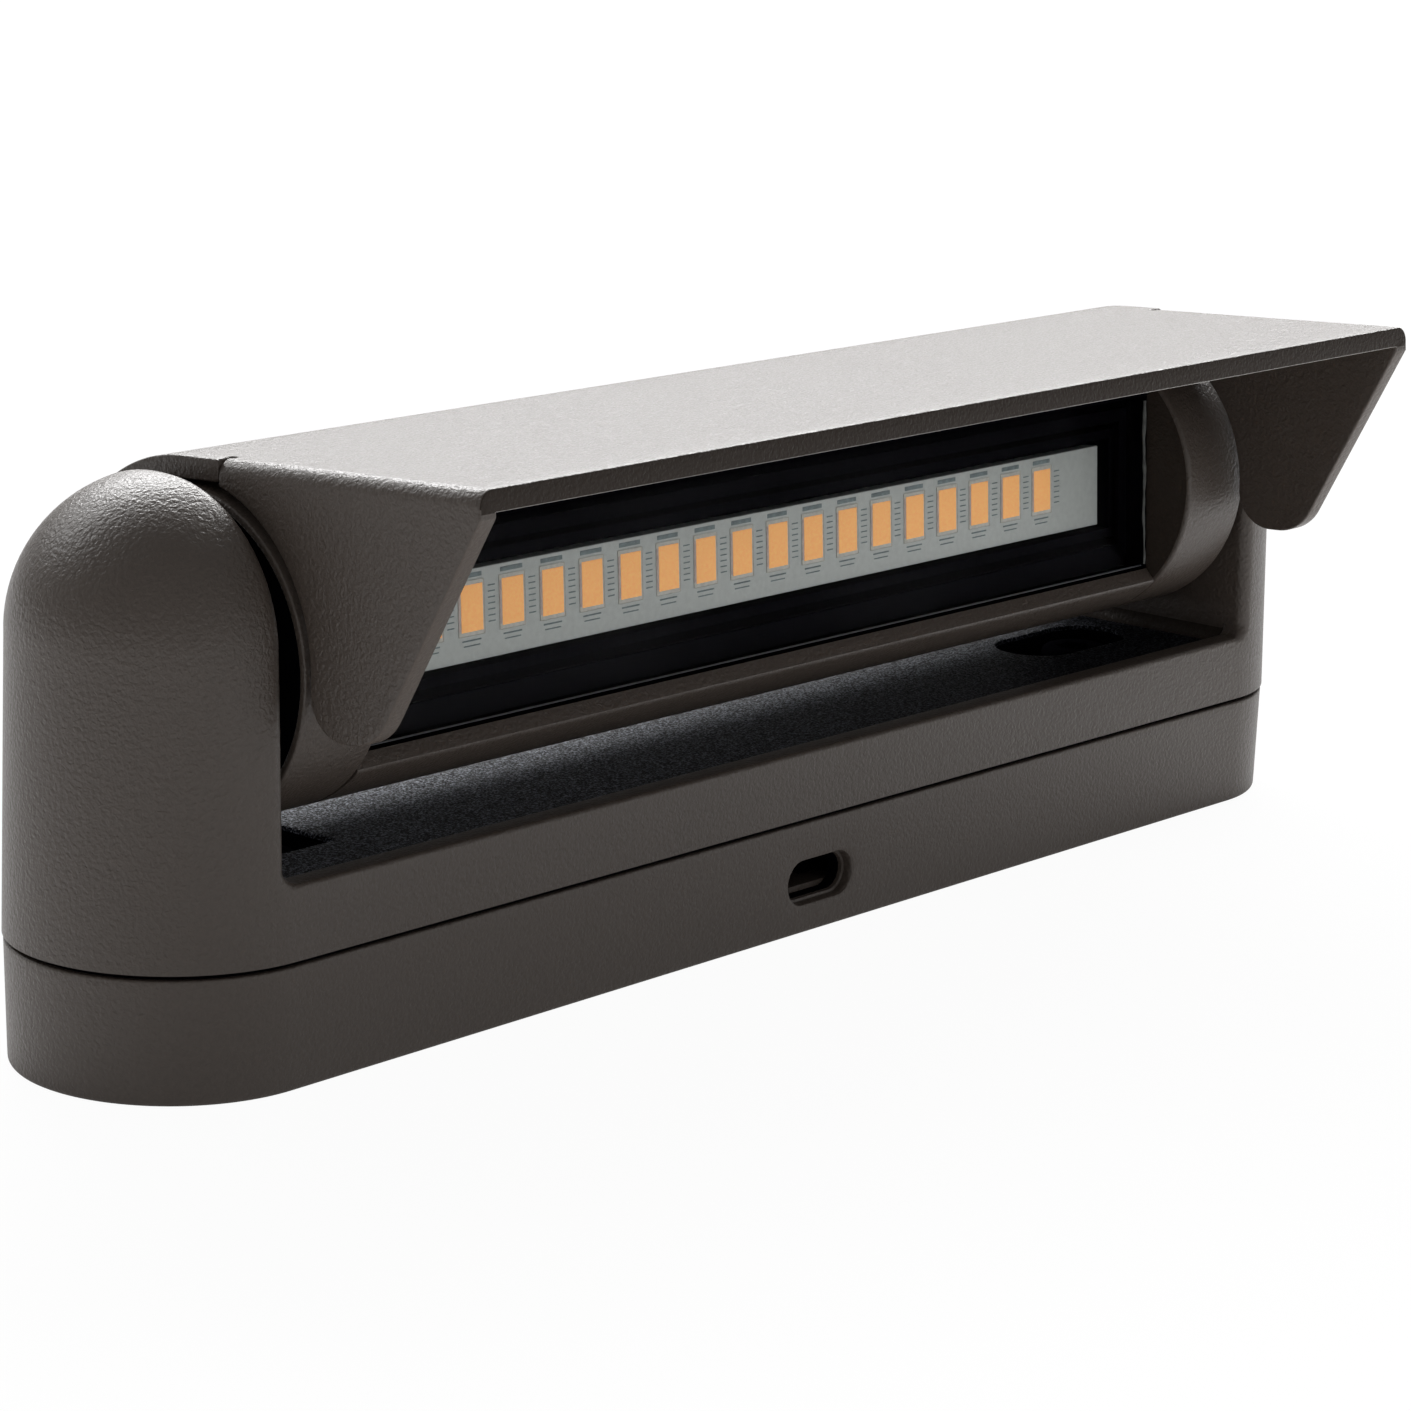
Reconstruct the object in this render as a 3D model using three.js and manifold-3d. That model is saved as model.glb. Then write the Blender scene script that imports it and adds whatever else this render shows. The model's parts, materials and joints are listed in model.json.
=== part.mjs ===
import * as THREE from 'three'
import { mergeVertices } from 'three/addons/utils/BufferGeometryUtils.js'
import Module from 'manifold-3d'

const wasm = await Module()
wasm.setup()

// Linear landscape light: a long base, a yoke with two domed posts, and a tilting head under a hood.
// Millimetres, +Z up, +X along the lamp, and the light leaves towards -Y.
// The origin is the centre of the flat underside of the base.
// In the head, "ahead" is the distance in front of the tilt axis and "up" the distance above it.

// Clearances
const gap = 0.3 // between a piece and the one that it seats on
const lap = 0.1 // how far two joined bodies run into each other
const overrun = 3 // how far a cutter passes beyond what it cuts

// Smoothness
const endSteps = 20 // flats round each half-round end
const domeSteps = 8 // rings from the shoulder of a post to its crown
const barrelSteps = 48 // flats round the head
const holeSteps = 16 // flats round a screw or a small hole
const edgeSteps = 4 // flats round a small rounded edge
const quarterTurn = Math.PI / 2

// Base
const halfStraight = 45.7 // from the middle to the centre of each round end
const baseFootRadius = 9.6
const baseFlare = 0.15 // the base is this much wider at its top
const baseHeight = 7.3
const baseWall = 1.8
const baseRoof = 1.6
const ledgeWidth = 1.4 // the step that the bottom plate closes against
const plateThickness = 1.6
const plateSealThickness = 0.3
const baseTopRadius = baseFootRadius + baseFlare
const plateRecessRadius = baseFootRadius - baseWall
const ledgeHeight = plateThickness + gap + plateSealThickness + gap
const baseCavityRadius = plateRecessRadius - ledgeWidth
const baseCeiling = baseHeight - baseRoof

// Lead slot in the front of the base
const slotWidth = 6.2
const slotHeight = 2.8
const slotBelowMiddle = 0.3 // of the base's height
const slotCentreHeight = baseHeight / 2 - slotBelowMiddle

// Seam between the base and the yoke
const seamHeight = 0.3
const seamInset = 0.35
const seamWidth = 1.2
const yokeBottom = baseHeight + seamHeight

// Yoke
const yokeOverhang = 0.08 // the yoke's foot stands this much proud of the base
const postDraft = 0.39 // radius that a post loses from its foot to its shoulder
const yokeWall = 1.8
const yokeFloorThickness = 1.8
const floorRise = 3.8 // from the seam to the trough floor
const lipRise = 0.55 // front and back lips above the trough floor
const lipWidth = 1.8
const lipRounding = 0.3
const troughFillet = 0.9
const postFaceOffset = 0.5 // from an end centre to the inner face of its post
const shoulderAboveAxis = 1.26
const cavityCrownAngle = Math.PI / 6
const yokeFootRadius = baseTopRadius + yokeOverhang
const postRadius = yokeFootRadius - postDraft
const floorHeight = yokeBottom + floorRise
const lipHeight = floorHeight + lipRise
const postFace = halfStraight + postFaceOffset

// Head and hood sizes that place the tilt axis
const headRadius = 9.75
const hoodSheet = 1.3
const hoodGap = 0.25 // between the head and the hood's curl
const curlClearance = 0.5 // between the hood's curl and the trough floor
const hoodHeight = headRadius + hoodGap + hoodSheet
const axisHeight = floorHeight + curlClearance + hoodHeight
const shoulderHeight = axisHeight + shoulderAboveAxis
const restTilt = THREE.MathUtils.degToRad(3.05) // front up

// Head
const sideGap = 1.2 // between the head's end face and a post
const capLength = 6.5
const headHalfLength = postFace - sideGap
const bodyHalfLength = headHalfLength - capLength
const lipSetback = 2.7 // from the foremost line of the end caps back to the body's lips
const lensSetback = 0.85 // from the lips back to the lens
const lipSlope = 1.235 // height of the slope from a lip to the lens
const lensThickness = 1
const lensSealThickness = 0.3
const lensSealWidth = 0.9
const lensEndGap = 0.6
const lipAhead = headRadius - lipSetback
const lensFrontAhead = lipAhead - lensSetback
const lensRecessHalfHeight = Math.sqrt(headRadius ** 2 - lipAhead ** 2) - lipSlope
const lensHalfHeight = lensRecessHalfHeight - gap
const lensBackAhead = lensFrontAhead - lensThickness
const lensSealFrontAhead = lensBackAhead - gap
const lensSealBackAhead = lensSealFrontAhead - lensSealThickness
const lensShelfAhead = lensSealBackAhead - gap
const lensHalfLength = bodyHalfLength - lensEndGap

// Light engine
const ledCount = 18
const ledWidth = 2.2
const ledThickness = 0.4
const ledRoom = 0.95 // between the emitters and the lens
const ledAboveBoardCentre = 0.43
const boardBorder = 2.45 // black above and below the board, within the lens
const ledBorder = 1.1 // board above and below the emitters, on average
const boardThickness = 0.8
const boardCentreUp = -0.1
const boardEndMargin = 2.1 // from the board's end to the end of the body
const rowEndMargin = 6.905 // from the board's end to the first emitter's middle
const ledFrontAhead = lensBackAhead - ledRoom
const ledBack = ledFrontAhead - ledThickness
const boardHeight = 2 * (lensHalfHeight - boardBorder)
const ledHeight = boardHeight - 2 * ledBorder
const boardFrontAhead = ledBack - gap
const boardBackAhead = boardFrontAhead - boardThickness
const boardHalfLength = bodyHalfLength - boardEndMargin
const ledPitch = (2 * (boardHalfLength - rowEndMargin)) / (ledCount - 1)
const trayFloor = 0.9
const trayWall = 0.6
const trayRoom = 0.3 // around the board, beyond its offset from the middle
const trayFloorAhead = boardBackAhead - gap
const trayBackAhead = trayFloorAhead - trayFloor
const trayInnerHalfHeight = boardHeight / 2 + Math.abs(boardCentreUp) + trayRoom
const trayHalfHeight = trayInnerHalfHeight + trayWall
const trayInnerHalfLength = boardHalfLength + trayRoom
const trayHalfLength = trayInnerHalfLength + trayWall
const channelHalfHeight = trayHalfHeight + gap
const channelFloorAhead = trayBackAhead - gap

// Hood
const hoodReach = 13.35 // of the hood's front edge beyond the head
const hoodSideInset = 0.28 // from the head's end face back to the side of the hood's top
const hoodBend = 1 // outer radius of the folds
const foldRearAhead = 3 // where the cheeks start, ahead of the axis
const cheekSplayShare = 0.038 // how far a cheek leans outward, of the way down it
const frontDrop = 0.3 // of the hood's upright front edge below the sheet
const cheekGap = 0.5 // between a cheek's rear edge and the head
const toeReach = 3.15 // of the cheek's lowest round beyond its rear edge
const toeUp = -0.35
const toeRadius = 3.1
const heelRadius = 2.5
const hoodHalfLength = headHalfLength - hoodSideInset
const hoodInside = hoodHeight - hoodSheet
const hoodFrontAhead = headRadius + hoodReach
const cheekArcRadius = headRadius + cheekGap
const toeAhead = cheekArcRadius + toeReach
const heelUp = toeUp - toeRadius + heelRadius
const heelAhead = Math.sqrt(cheekArcRadius ** 2 - heelUp ** 2) + heelRadius
const reliefRadius = 0.3
const reliefInset = 1.1 // relief holes at the rear ends of the folds, from the side
const reliefSetback = 0.4 // and behind the folds' rear ends

// Pivots
const pivotShare = 0.3412 // radius of a pivot, of the radius of the hollow in a post
const pivotTubeWall = 1
const pivotDepth = 4.2 // of a pivot inside its end cap
const pivotTail = 0.6 // of a pivot beyond its nut
const nutThicknessShare = 0.328 // of the radius of the hollow in a post
const nutCornerShare = 0.577 // of the same radius
const nutSides = 6
const bushingWall = 0.7
const washerThickness = 0.6
const washerWidth = 1.9
const postCavityRadius = postRadius - yokeWall
const pivotRadius = pivotShare * postCavityRadius
const pivotHole = pivotRadius + gap
const washerRadius = pivotHole + washerWidth
const nutThickness = nutThicknessShare * postCavityRadius
const nutCornerRadius = nutCornerShare * postCavityRadius
const bushingRadius = pivotHole + bushingWall
const nutStart = postFace + yokeWall + gap
const pivotEnd = nutStart + nutThickness + pivotTail

// Screws: shank radius, head radius, head height, length below the head
const yokeScrew = { shank: 1.5, head: 2.5, headHeight: 1.6, length: 6 }
const plateScrew = { shank: 0.95, head: 1.8, headHeight: 0.6, length: 4.6 }
const capScrew = { shank: 1.1, head: 2, headHeight: 1.2, length: 10 }
const hoodScrew = { shank: 1.1, head: 1.9, headHeight: 0.9, length: 3.6 }

// Places of the screws and the wire holes
const yokeScrewInset = 6.2 // from an end centre to the screw in each pocket of the trough floor
const squarePocketInset = 9.6 // from an end centre to the inner end of the left pocket
const roundPocketInset = 13.7 // from an end centre to the inner end of the right pocket
const pocketEndInset = 2.3 // from an end centre to the outer end of each
const pocketHalfWidth = 2.85
const pocketSeat = 1.3 // floor of a pocket above the yoke's underside
const pocketWall = 1.4
const baseBossRadius = 3.8
const plateBossRadius = 2.2
const bossSpacing = 0.7 // between the two kinds of boss
const plateScrewInset = 2.4 // from the wall of the hollow to a bottom plate screw
const plateScrewRecess = 1 // depth of the seat in the bottom plate
const plateScrewSkin = 0.8 // metal left above the pilot hole
const wireHoleRadius = 1.8
const wireHoleBeyondPostFace = 3.9
const capScrewInset = 2.5 // from the head's surface
const capScrewLean = THREE.MathUtils.degToRad(35) // of the cap screws behind the middle of the head
const capScrewHoleDepth = 9
const hoodScrewInset = 19.5 // from the hood's side
const hoodScrewLean = Math.PI / 4 // behind the top of the head
const wireBoreRadius = 1.9
const wireBoreLength = 8
const yokeScrewAlong = halfStraight - yokeScrewInset
const squarePocketStart = halfStraight - squarePocketInset
const roundPocketStart = halfStraight - roundPocketInset
const pocketEnd = halfStraight - pocketEndInset
const plateScrewAlong = yokeScrewAlong - baseBossRadius - plateBossRadius - bossSpacing
const plateScrewAcross = baseCavityRadius - plateScrewInset
const hoodScrewAlong = hoodHalfLength - hoodScrewInset
const capScrewBehind = (headRadius - capScrewInset) * Math.sin(capScrewLean)
const capScrewUp = (headRadius - capScrewInset) * Math.cos(capScrewLean)

// Driver in the base
const driverEndRoom = 2.3 // from the board to the nearest bosses
const driverSideRoom = 1.4 // from the board to the wall
const driverThickness = 1
const terminalAlong = 10
const terminalHalfLength = 5
const terminalInset = 1.7 // from the board's long edge
const wireSealHalfWidth = 4.5
const wireSealThickness = 1.4
const wireSealSlitShare = 0.54 // of the seal's height
const driverHalfLength = plateScrewAlong - plateBossRadius - driverEndRoom
const driverHalfWidth = baseCavityRadius - driverSideRoom
const driverTop = baseCeiling - gap
const driverBottom = driverTop - driverThickness
const underDriverTop = driverBottom - gap
const underDriverBottom = plateThickness + gap

// Materials
const colours = {
  bronze: { color: 0x45403d, roughness: 0.62, metalness: 0.25 },
  steel: { color: 0x8b8d90, roughness: 0.35, metalness: 0.9 },
  blackSteel: { color: 0x1c1c1d, roughness: 0.5, metalness: 0.8 },
  brass: { color: 0xb08d4a, roughness: 0.35, metalness: 0.9 },
  rubber: { color: 0x0e0e0f, roughness: 0.85, metalness: 0 },
  blackPlastic: { color: 0x08080a, roughness: 0.6, metalness: 0 },
  glass: { color: 0xdfe6e6, roughness: 0.05, metalness: 0, transparent: true, opacity: 0.3 },
  board: { color: 0x969f9a, roughness: 0.6, metalness: 0 },
  greenBoard: { color: 0x2f5a3c, roughness: 0.6, metalness: 0 },
  phosphor: { color: 0xd69a64, roughness: 0.55, metalness: 0 },
}

// Solids
function toSolid(geometry) {
  const bare = geometry.clone()
  bare.deleteAttribute('normal')
  bare.deleteAttribute('uv')
  const merged = mergeVertices(bare)
  const vertProperties = new Float32Array(merged.attributes.position.array)
  const triVerts = new Uint32Array(merged.index.array)
  return new wasm.Manifold(new wasm.Mesh({ numProp: 3, vertProperties, triVerts }))
}

function toGeometry(body) {
  const mesh = body.getMesh()
  const geometry = new THREE.BufferGeometry()
  geometry.setAttribute('position', new THREE.BufferAttribute(mesh.vertProperties, 3))
  geometry.setIndex(new THREE.BufferAttribute(mesh.triVerts, 1))
  return geometry
}

function join(geometries) {
  return toGeometry(geometries.map(toSolid).reduce((whole, next) => whole.add(next)))
}

function cut(geometry, cutters) {
  return toGeometry(cutters.map(toSolid).reduce((rest, next) => rest.subtract(next), toSolid(geometry)))
}

function overlapOf(first, second) {
  return toGeometry(toSolid(first).intersect(toSolid(second)))
}

// Basic shapes, placed by their limits
function block([left, right], [front, back], [low, high]) {
  const box = new THREE.BoxGeometry(right - left, back - front, high - low)
  return box.translate((left + right) / 2, (front + back) / 2, (low + high) / 2)
}

function rodAlongX(radius, [start, end], steps, up = 0) {
  const rod = new THREE.CylinderGeometry(radius, radius, Math.abs(end - start), steps)
  return rod.rotateZ(quarterTurn).translate((start + end) / 2, 0, up)
}

function rodAlongZ(radius, [low, high], steps, along = 0, across = 0) {
  const rod = new THREE.CylinderGeometry(radius, radius, high - low, steps)
  return rod.rotateX(quarterTurn).translate(along, across, (low + high) / 2)
}

function tubeAlongX(outer, inner, [start, end], steps, up = 0) {
  const points = [
    [inner, 0],
    [outer, 0],
    [outer, end - start],
    [inner, end - start],
    [inner, 0],
  ]
  const lathe = new THREE.LatheGeometry(points.map(([r, h]) => new THREE.Vector2(r, h)), steps)
  return lathe.rotateZ(-quarterTurn).translate(start, 0, up)
}

function extrude(outline, holes, depth) {
  const shape = new THREE.Shape(outline.map(([x, y]) => new THREE.Vector2(x, y)))
  shape.holes = holes.map((hole) => new THREE.Path(hole.map(([x, y]) => new THREE.Vector2(x, y))))
  return new THREE.ExtrudeGeometry(shape, { depth, bevelEnabled: false })
}

const alongXBasis = new THREE.Matrix4().makeBasis(
  new THREE.Vector3(0, 1, 0),
  new THREE.Vector3(0, 0, 1),
  new THREE.Vector3(1, 0, 0),
)
const alongYBasis = new THREE.Matrix4().makeBasis(
  new THREE.Vector3(-1, 0, 0),
  new THREE.Vector3(0, 0, 1),
  new THREE.Vector3(0, 1, 0),
)

// A prism along X from an outline of [across, up] points
function prismAlongX(outline, [start, end]) {
  return extrude(outline, [], end - start).applyMatrix4(alongXBasis).translate(start, 0, 0)
}

// A prism along Y from an outline of [along, up] points, which is the same from left and right
function prismAlongY(outline, [start, end]) {
  return extrude(outline, [], end - start).applyMatrix4(alongYBasis).translate(0, start, 0)
}

// Outlines
function arc([x, y], radius, from, to, steps) {
  return Array.from({ length: steps + 1 }, (_, i) => {
    const angle = from + ((to - from) * i) / steps
    return [x + radius * Math.cos(angle), y + radius * Math.sin(angle)]
  })
}

function stadium(halfLength, radius, [x, y] = [0, 0]) {
  return [
    ...arc([x + halfLength, y], radius, -quarterTurn, quarterTurn, endSteps),
    ...arc([x - halfLength, y], radius, quarterTurn, 3 * quarterTurn, endSteps),
  ]
}

function stadiumPlate(radius, [low, high], holes = []) {
  return extrude(stadium(halfStraight, radius), holes, high - low).translate(0, 0, low)
}

// A solid through rings of one stadium family, each ring given as [radius, height]
function stadiumLoft(rings) {
  const positions = rings.flatMap(([radius, height]) =>
    stadium(halfStraight, radius).flatMap(([x, y]) => [x, y, height]),
  )
  const size = 2 * (endSteps + 1)
  const last = (rings.length - 1) * size
  const triangles = []
  for (let ring = 0; ring < last; ring += size) {
    for (let i = 0; i < size; i++) {
      const next = (i + 1) % size
      triangles.push(ring + i, ring + next, ring + size + next)
      triangles.push(ring + i, ring + size + next, ring + size + i)
    }
  }
  for (let i = 1; i < size - 1; i++) {
    triangles.push(0, i + 1, i)
    triangles.push(last, last + i, last + i + 1)
  }
  const geometry = new THREE.BufferGeometry()
  geometry.setAttribute('position', new THREE.Float32BufferAttribute(positions, 3))
  geometry.setIndex(triangles)
  return geometry
}

function bothSides(make) {
  return [-1, 1].map(make)
}

// Mirror places of the two ends, as a name and a sign
const ends = [
  { name: 'left', side: -1 },
  { name: 'right', side: 1 },
]

function spanOutward(side, near, far) {
  return side > 0 ? [near, far] : [-far, -near]
}

// Base pieces
const plateScrewPlaces = bothSides((along) =>
  bothSides((across) => [along * plateScrewAlong, across * plateScrewAcross]),
).flat()

const yokeScrewPlaces = bothSides((side) => side * yokeScrewAlong)

function baseHousing() {
  const outside = stadiumLoft([[baseFootRadius, 0], [baseTopRadius, baseHeight]])
  const recess = stadiumPlate(plateRecessRadius, [-overrun, ledgeHeight])
  const cavity = stadiumPlate(baseCavityRadius, [ledgeHeight - lap, baseCeiling])
  const shell = cut(outside, [recess, cavity])
  const bossSpan = [ledgeHeight, baseCeiling + lap]
  const yokeBosses = yokeScrewPlaces.map((x) => rodAlongZ(baseBossRadius, bossSpan, holeSteps, x))
  const plateBosses = plateScrewPlaces.map(([x, y]) =>
    rodAlongZ(plateBossRadius, bossSpan, holeSteps, x, y),
  )
  const bossed = join([shell, ...yokeBosses, ...plateBosses])
  const yokeHoles = yokeScrewPlaces.map((x) =>
    rodAlongZ(yokeScrew.shank + gap, [-overrun, baseHeight + overrun], holeSteps, x),
  )
  const pilotHoles = plateScrewPlaces.map(([x, y]) =>
    rodAlongZ(plateScrew.shank + gap, [-overrun, baseHeight - plateScrewSkin], holeSteps, x, y),
  )
  const wireHoles = bothSides((side) =>
    rodAlongZ(wireHoleRadius, [ledgeHeight, baseHeight + overrun], holeSteps,
      side * (postFace + wireHoleBeyondPostFace)),
  )
  const slotRadius = slotHeight / 2
  const slot = prismAlongY(
    stadium(slotWidth / 2 - slotRadius, slotRadius, [0, slotCentreHeight]),
    [-baseTopRadius - overrun, -baseCavityRadius + lap],
  )
  return cut(bossed, [...yokeHoles, ...pilotHoles, ...wireHoles, slot])
}

function bottomPlate() {
  const plate = stadiumPlate(plateRecessRadius - gap, [0, plateThickness])
  const seats = plateScrewPlaces.map(([x, y]) =>
    rodAlongZ(plateScrew.head + gap, [-overrun, plateScrewRecess], holeSteps, x, y),
  )
  const holes = plateScrewPlaces.map(([x, y]) =>
    rodAlongZ(plateScrew.shank + gap, [-overrun, plateThickness + overrun], holeSteps, x, y),
  )
  return cut(plate, [...seats, ...holes])
}

function bottomSeal() {
  const low = plateThickness + gap
  const inside = stadium(halfStraight, baseCavityRadius + gap)
  return stadiumPlate(plateRecessRadius - gap, [low, low + plateSealThickness], [inside])
}

function seamSeal() {
  const outer = baseTopRadius - seamInset
  return stadiumPlate(outer, [baseHeight, yokeBottom], [stadium(halfStraight, outer - seamWidth)])
}

// A screw along Z with its head's underside at zero, its shank below and its head above
function screw({ shank, head, headHeight, length }) {
  const profile = [[0, -length], [shank, -length], [shank, 0], [head, 0], [head, headHeight], [0, headHeight]]
  const points = profile.map(([r, h]) => new THREE.Vector2(r, h))
  return new THREE.LatheGeometry(points, holeSteps).rotateX(quarterTurn)
}

function wireSeal() {
  const front = -baseCavityRadius + gap
  const body = block(
    [-wireSealHalfWidth, wireSealHalfWidth],
    [front, front + wireSealThickness],
    [underDriverBottom, underDriverTop],
  )
  const slitRadius = (wireSealSlitShare * (underDriverTop - underDriverBottom)) / 2
  const slit = prismAlongY(
    stadium((slotWidth - slotHeight) / 2, slitRadius, [0, (underDriverBottom + underDriverTop) / 2]),
    [front - overrun, front + wireSealThickness + overrun],
  )
  return cut(body, [slit])
}

function driverBoard() {
  return block(
    [-driverHalfLength, driverHalfLength],
    [-driverHalfWidth, driverHalfWidth],
    [driverBottom, driverTop],
  )
}

function terminalBlock() {
  return block(
    [terminalAlong - terminalHalfLength, terminalAlong + terminalHalfLength],
    [terminalInset - driverHalfWidth, driverHalfWidth - terminalInset],
    [underDriverBottom, underDriverTop],
  )
}

// Yoke
// A pocket in the trough floor, spread by a wall where it is a boss.
// The left one has square corners, and the right one has a round inner end.
function pocket(side, spread, heights) {
  const halfWidth = pocketHalfWidth + spread
  const run = (start) =>
    block(spanOutward(side, start, pocketEnd + spread), [-halfWidth, halfWidth], heights)
  if (side < 0) return run(squarePocketStart - spread)
  const roundCentre = roundPocketStart + pocketHalfWidth
  return join([run(roundCentre), rodAlongZ(halfWidth, heights, endSteps, roundCentre)])
}

function domeRings() {
  return Array.from({ length: domeSteps }, (_, i) => {
    const angle = (quarterTurn * (i + 1)) / (domeSteps + 1)
    return [postRadius * Math.cos(angle), shoulderHeight + postRadius * Math.sin(angle)]
  })
}

function yoke() {
  const outside = stadiumLoft([
    [yokeFootRadius, yokeBottom],
    [postRadius, shoulderHeight],
    ...domeRings(),
  ])
  const top = shoulderHeight + postRadius + overrun
  const inner = postFace - troughFillet
  const trough = prismAlongY(
    [
      ...arc([inner, lipHeight + troughFillet], troughFillet, -quarterTurn, 0, edgeSteps),
      [postFace, top],
      [-postFace, top],
      ...arc([-inner, lipHeight + troughFillet], troughFillet, -2 * quarterTurn, -quarterTurn, edgeSteps),
    ],
    [-yokeFootRadius - overrun, yokeFootRadius + overrun],
  )
  const floorHalfWidth = yokeFootRadius - lipWidth
  const floorCut = block([-inner, inner], [-floorHalfWidth, floorHalfWidth], [floorHeight, top])
  const draftPerHeight = postDraft / (shoulderHeight - yokeBottom)
  const lipFace = yokeFootRadius - draftPerHeight * (lipHeight - yokeBottom)
  const lipEdge = lipFace - lipRounding
  const lipCutter = [
    ...arc([lipEdge, lipHeight - lipRounding], lipRounding, quarterTurn, 0, edgeSteps),
    [lipFace + overrun, lipHeight - lipRounding],
    [lipFace + overrun, top],
    [lipEdge, top],
  ]
  const lipCutters = bothSides((side) =>
    prismAlongX(lipCutter.map(([y, z]) => [side * y, z]), [-inner, inner]),
  )
  const bare = cut(outside, [trough, floorCut, ...lipCutters])
  const lowerCavity = stadiumPlate(
    yokeFootRadius - yokeWall,
    [yokeBottom - overrun, floorHeight - yokeFloorThickness],
  )
  const postCavities = cut(
    stadiumLoft([
      [postCavityRadius, yokeBottom - overrun],
      [postCavityRadius, shoulderHeight],
      [
        postCavityRadius * Math.cos(cavityCrownAngle),
        shoulderHeight + postCavityRadius * Math.sin(cavityCrownAngle),
      ],
    ]),
    [block(
      [-postFace - yokeWall, postFace + yokeWall],
      [-yokeFootRadius, yokeFootRadius],
      [yokeBottom - overrun - lap, top],
    )],
  )
  const hollow = cut(bare, [lowerCavity, postCavities])
  const pocketBosses = bothSides((side) => pocket(side, pocketWall, [yokeBottom, floorHeight - lap]))
  const pockets = bothSides((side) => pocket(side, 0, [yokeBottom + pocketSeat, floorHeight + overrun]))
  const holes = yokeScrewPlaces.map((x) =>
    rodAlongZ(yokeScrew.shank + gap, [yokeBottom - overrun, floorHeight], holeSteps, x),
  )
  const pivotHoles = bothSides((side) =>
    rodAlongX(
      bushingRadius + gap,
      spanOutward(side, postFace - overrun, nutStart + gap),
      endSteps,
      axisHeight,
    ),
  )
  return cut(join([hollow, ...pocketBosses]), [...pockets, ...holes, ...pivotHoles])
}

// Head pieces, in the head's own frame with the tilt axis through the origin
function headBody() {
  const lipAngle = Math.acos(lipAhead / headRadius)
  const upperRecess = [
    [channelFloorAhead, channelHalfHeight],
    [lensShelfAhead, channelHalfHeight],
    [lensShelfAhead, lensRecessHalfHeight],
    [lensFrontAhead, lensRecessHalfHeight],
  ]
  const lowerRecess = upperRecess.map(([ahead, up]) => [ahead, -up]).reverse()
  const outline = [
    ...arc([0, 0], headRadius, lipAngle, 4 * quarterTurn - lipAngle, barrelSteps),
    ...lowerRecess,
    ...upperRecess,
  ]
  const extrusion = prismAlongX(outline.map(([ahead, up]) => [-ahead, up]), [-bodyHalfLength, bodyHalfLength])
  const capHoles = ends.flatMap(({ side }) =>
    bothSides((up) =>
      rodAlongX(
        capScrew.shank + gap,
        [side * (bodyHalfLength - capScrewHoleDepth), side * (bodyHalfLength + overrun)],
        holeSteps,
        up * capScrewUp,
      ).translate(0, capScrewBehind, 0),
    ),
  )
  const wireBore = rodAlongX(
    wireBoreRadius,
    [bodyHalfLength - wireBoreLength, bodyHalfLength + overrun],
    holeSteps,
  )
  const hoodHoles = bothSides((side) =>
    rodAlongZ(
      hoodScrew.shank + gap,
      [hoodHeight + gap - hoodScrew.length - gap, headRadius + overrun],
      holeSteps,
    ).rotateX(-hoodScrewLean).translate(side * hoodScrewAlong, 0, 0),
  )
  return cut(extrusion, [...capHoles, wireBore, ...hoodHoles])
}

function endCap(side) {
  const inner = bodyHalfLength + gap
  const disc = rodAlongX(headRadius, spanOutward(side, inner, headHalfLength), barrelSteps)
  const pivotStart = side > 0 ? inner - overrun : headHalfLength - pivotDepth - gap
  const pivotCut = rodAlongX(pivotHole, spanOutward(side, pivotStart, headHalfLength + overrun), endSteps)
  const screwCuts = bothSides((up) => [
    rodAlongX(
      capScrew.shank + gap,
      spanOutward(side, inner - overrun, headHalfLength + overrun),
      holeSteps,
      up * capScrewUp,
    ),
    rodAlongX(
      capScrew.head + gap,
      spanOutward(side, headHalfLength - capScrew.headHeight - gap, headHalfLength + overrun),
      holeSteps,
      up * capScrewUp,
    ),
  ]).flat().map((hole) => hole.translate(0, capScrewBehind, 0))
  return cut(disc, [pivotCut, ...screwCuts])
}

function endCapScrew(side, up) {
  const turned = screw(capScrew).rotateY(side * quarterTurn)
  return turned.translate(side * (headHalfLength - capScrew.headHeight), capScrewBehind, up * capScrewUp)
}

function pivotStud() {
  return rodAlongX(pivotRadius, [-pivotEnd, -(headHalfLength - pivotDepth)], endSteps)
}

function pivotTube() {
  return tubeAlongX(pivotRadius, pivotRadius - pivotTubeWall, [bodyHalfLength + gap, pivotEnd], endSteps)
}

function pivotNut(side) {
  const span = spanOutward(side, nutStart, nutStart + nutThickness)
  const hexagon = rodAlongX(nutCornerRadius, span, nutSides)
  const boreSpan = spanOutward(side, nutStart - overrun, nutStart + nutThickness + overrun)
  const bore = rodAlongX(pivotHole, boreSpan, endSteps)
  return cut(hexagon, [bore])
}

function pivotBushing(side) {
  const span = spanOutward(side, postFace, postFace + yokeWall)
  return tubeAlongX(bushingRadius, pivotHole, span, endSteps, axisHeight)
}

function frictionWasher(side) {
  const span = spanOutward(side, postFace - gap - washerThickness, postFace - gap)
  return tubeAlongX(washerRadius, pivotHole, span, endSteps, axisHeight)
}

// The lens, its seal, the tray behind it, the board and the emitters
function headBlock(halfLength, halfHeight, [behind, ahead], centreUp = 0) {
  return block([-halfLength, halfLength], [-ahead, -behind], [centreUp - halfHeight, centreUp + halfHeight])
}

function lensGlass() {
  return headBlock(lensHalfLength, lensHalfHeight, [lensBackAhead, lensFrontAhead])
}

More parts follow.
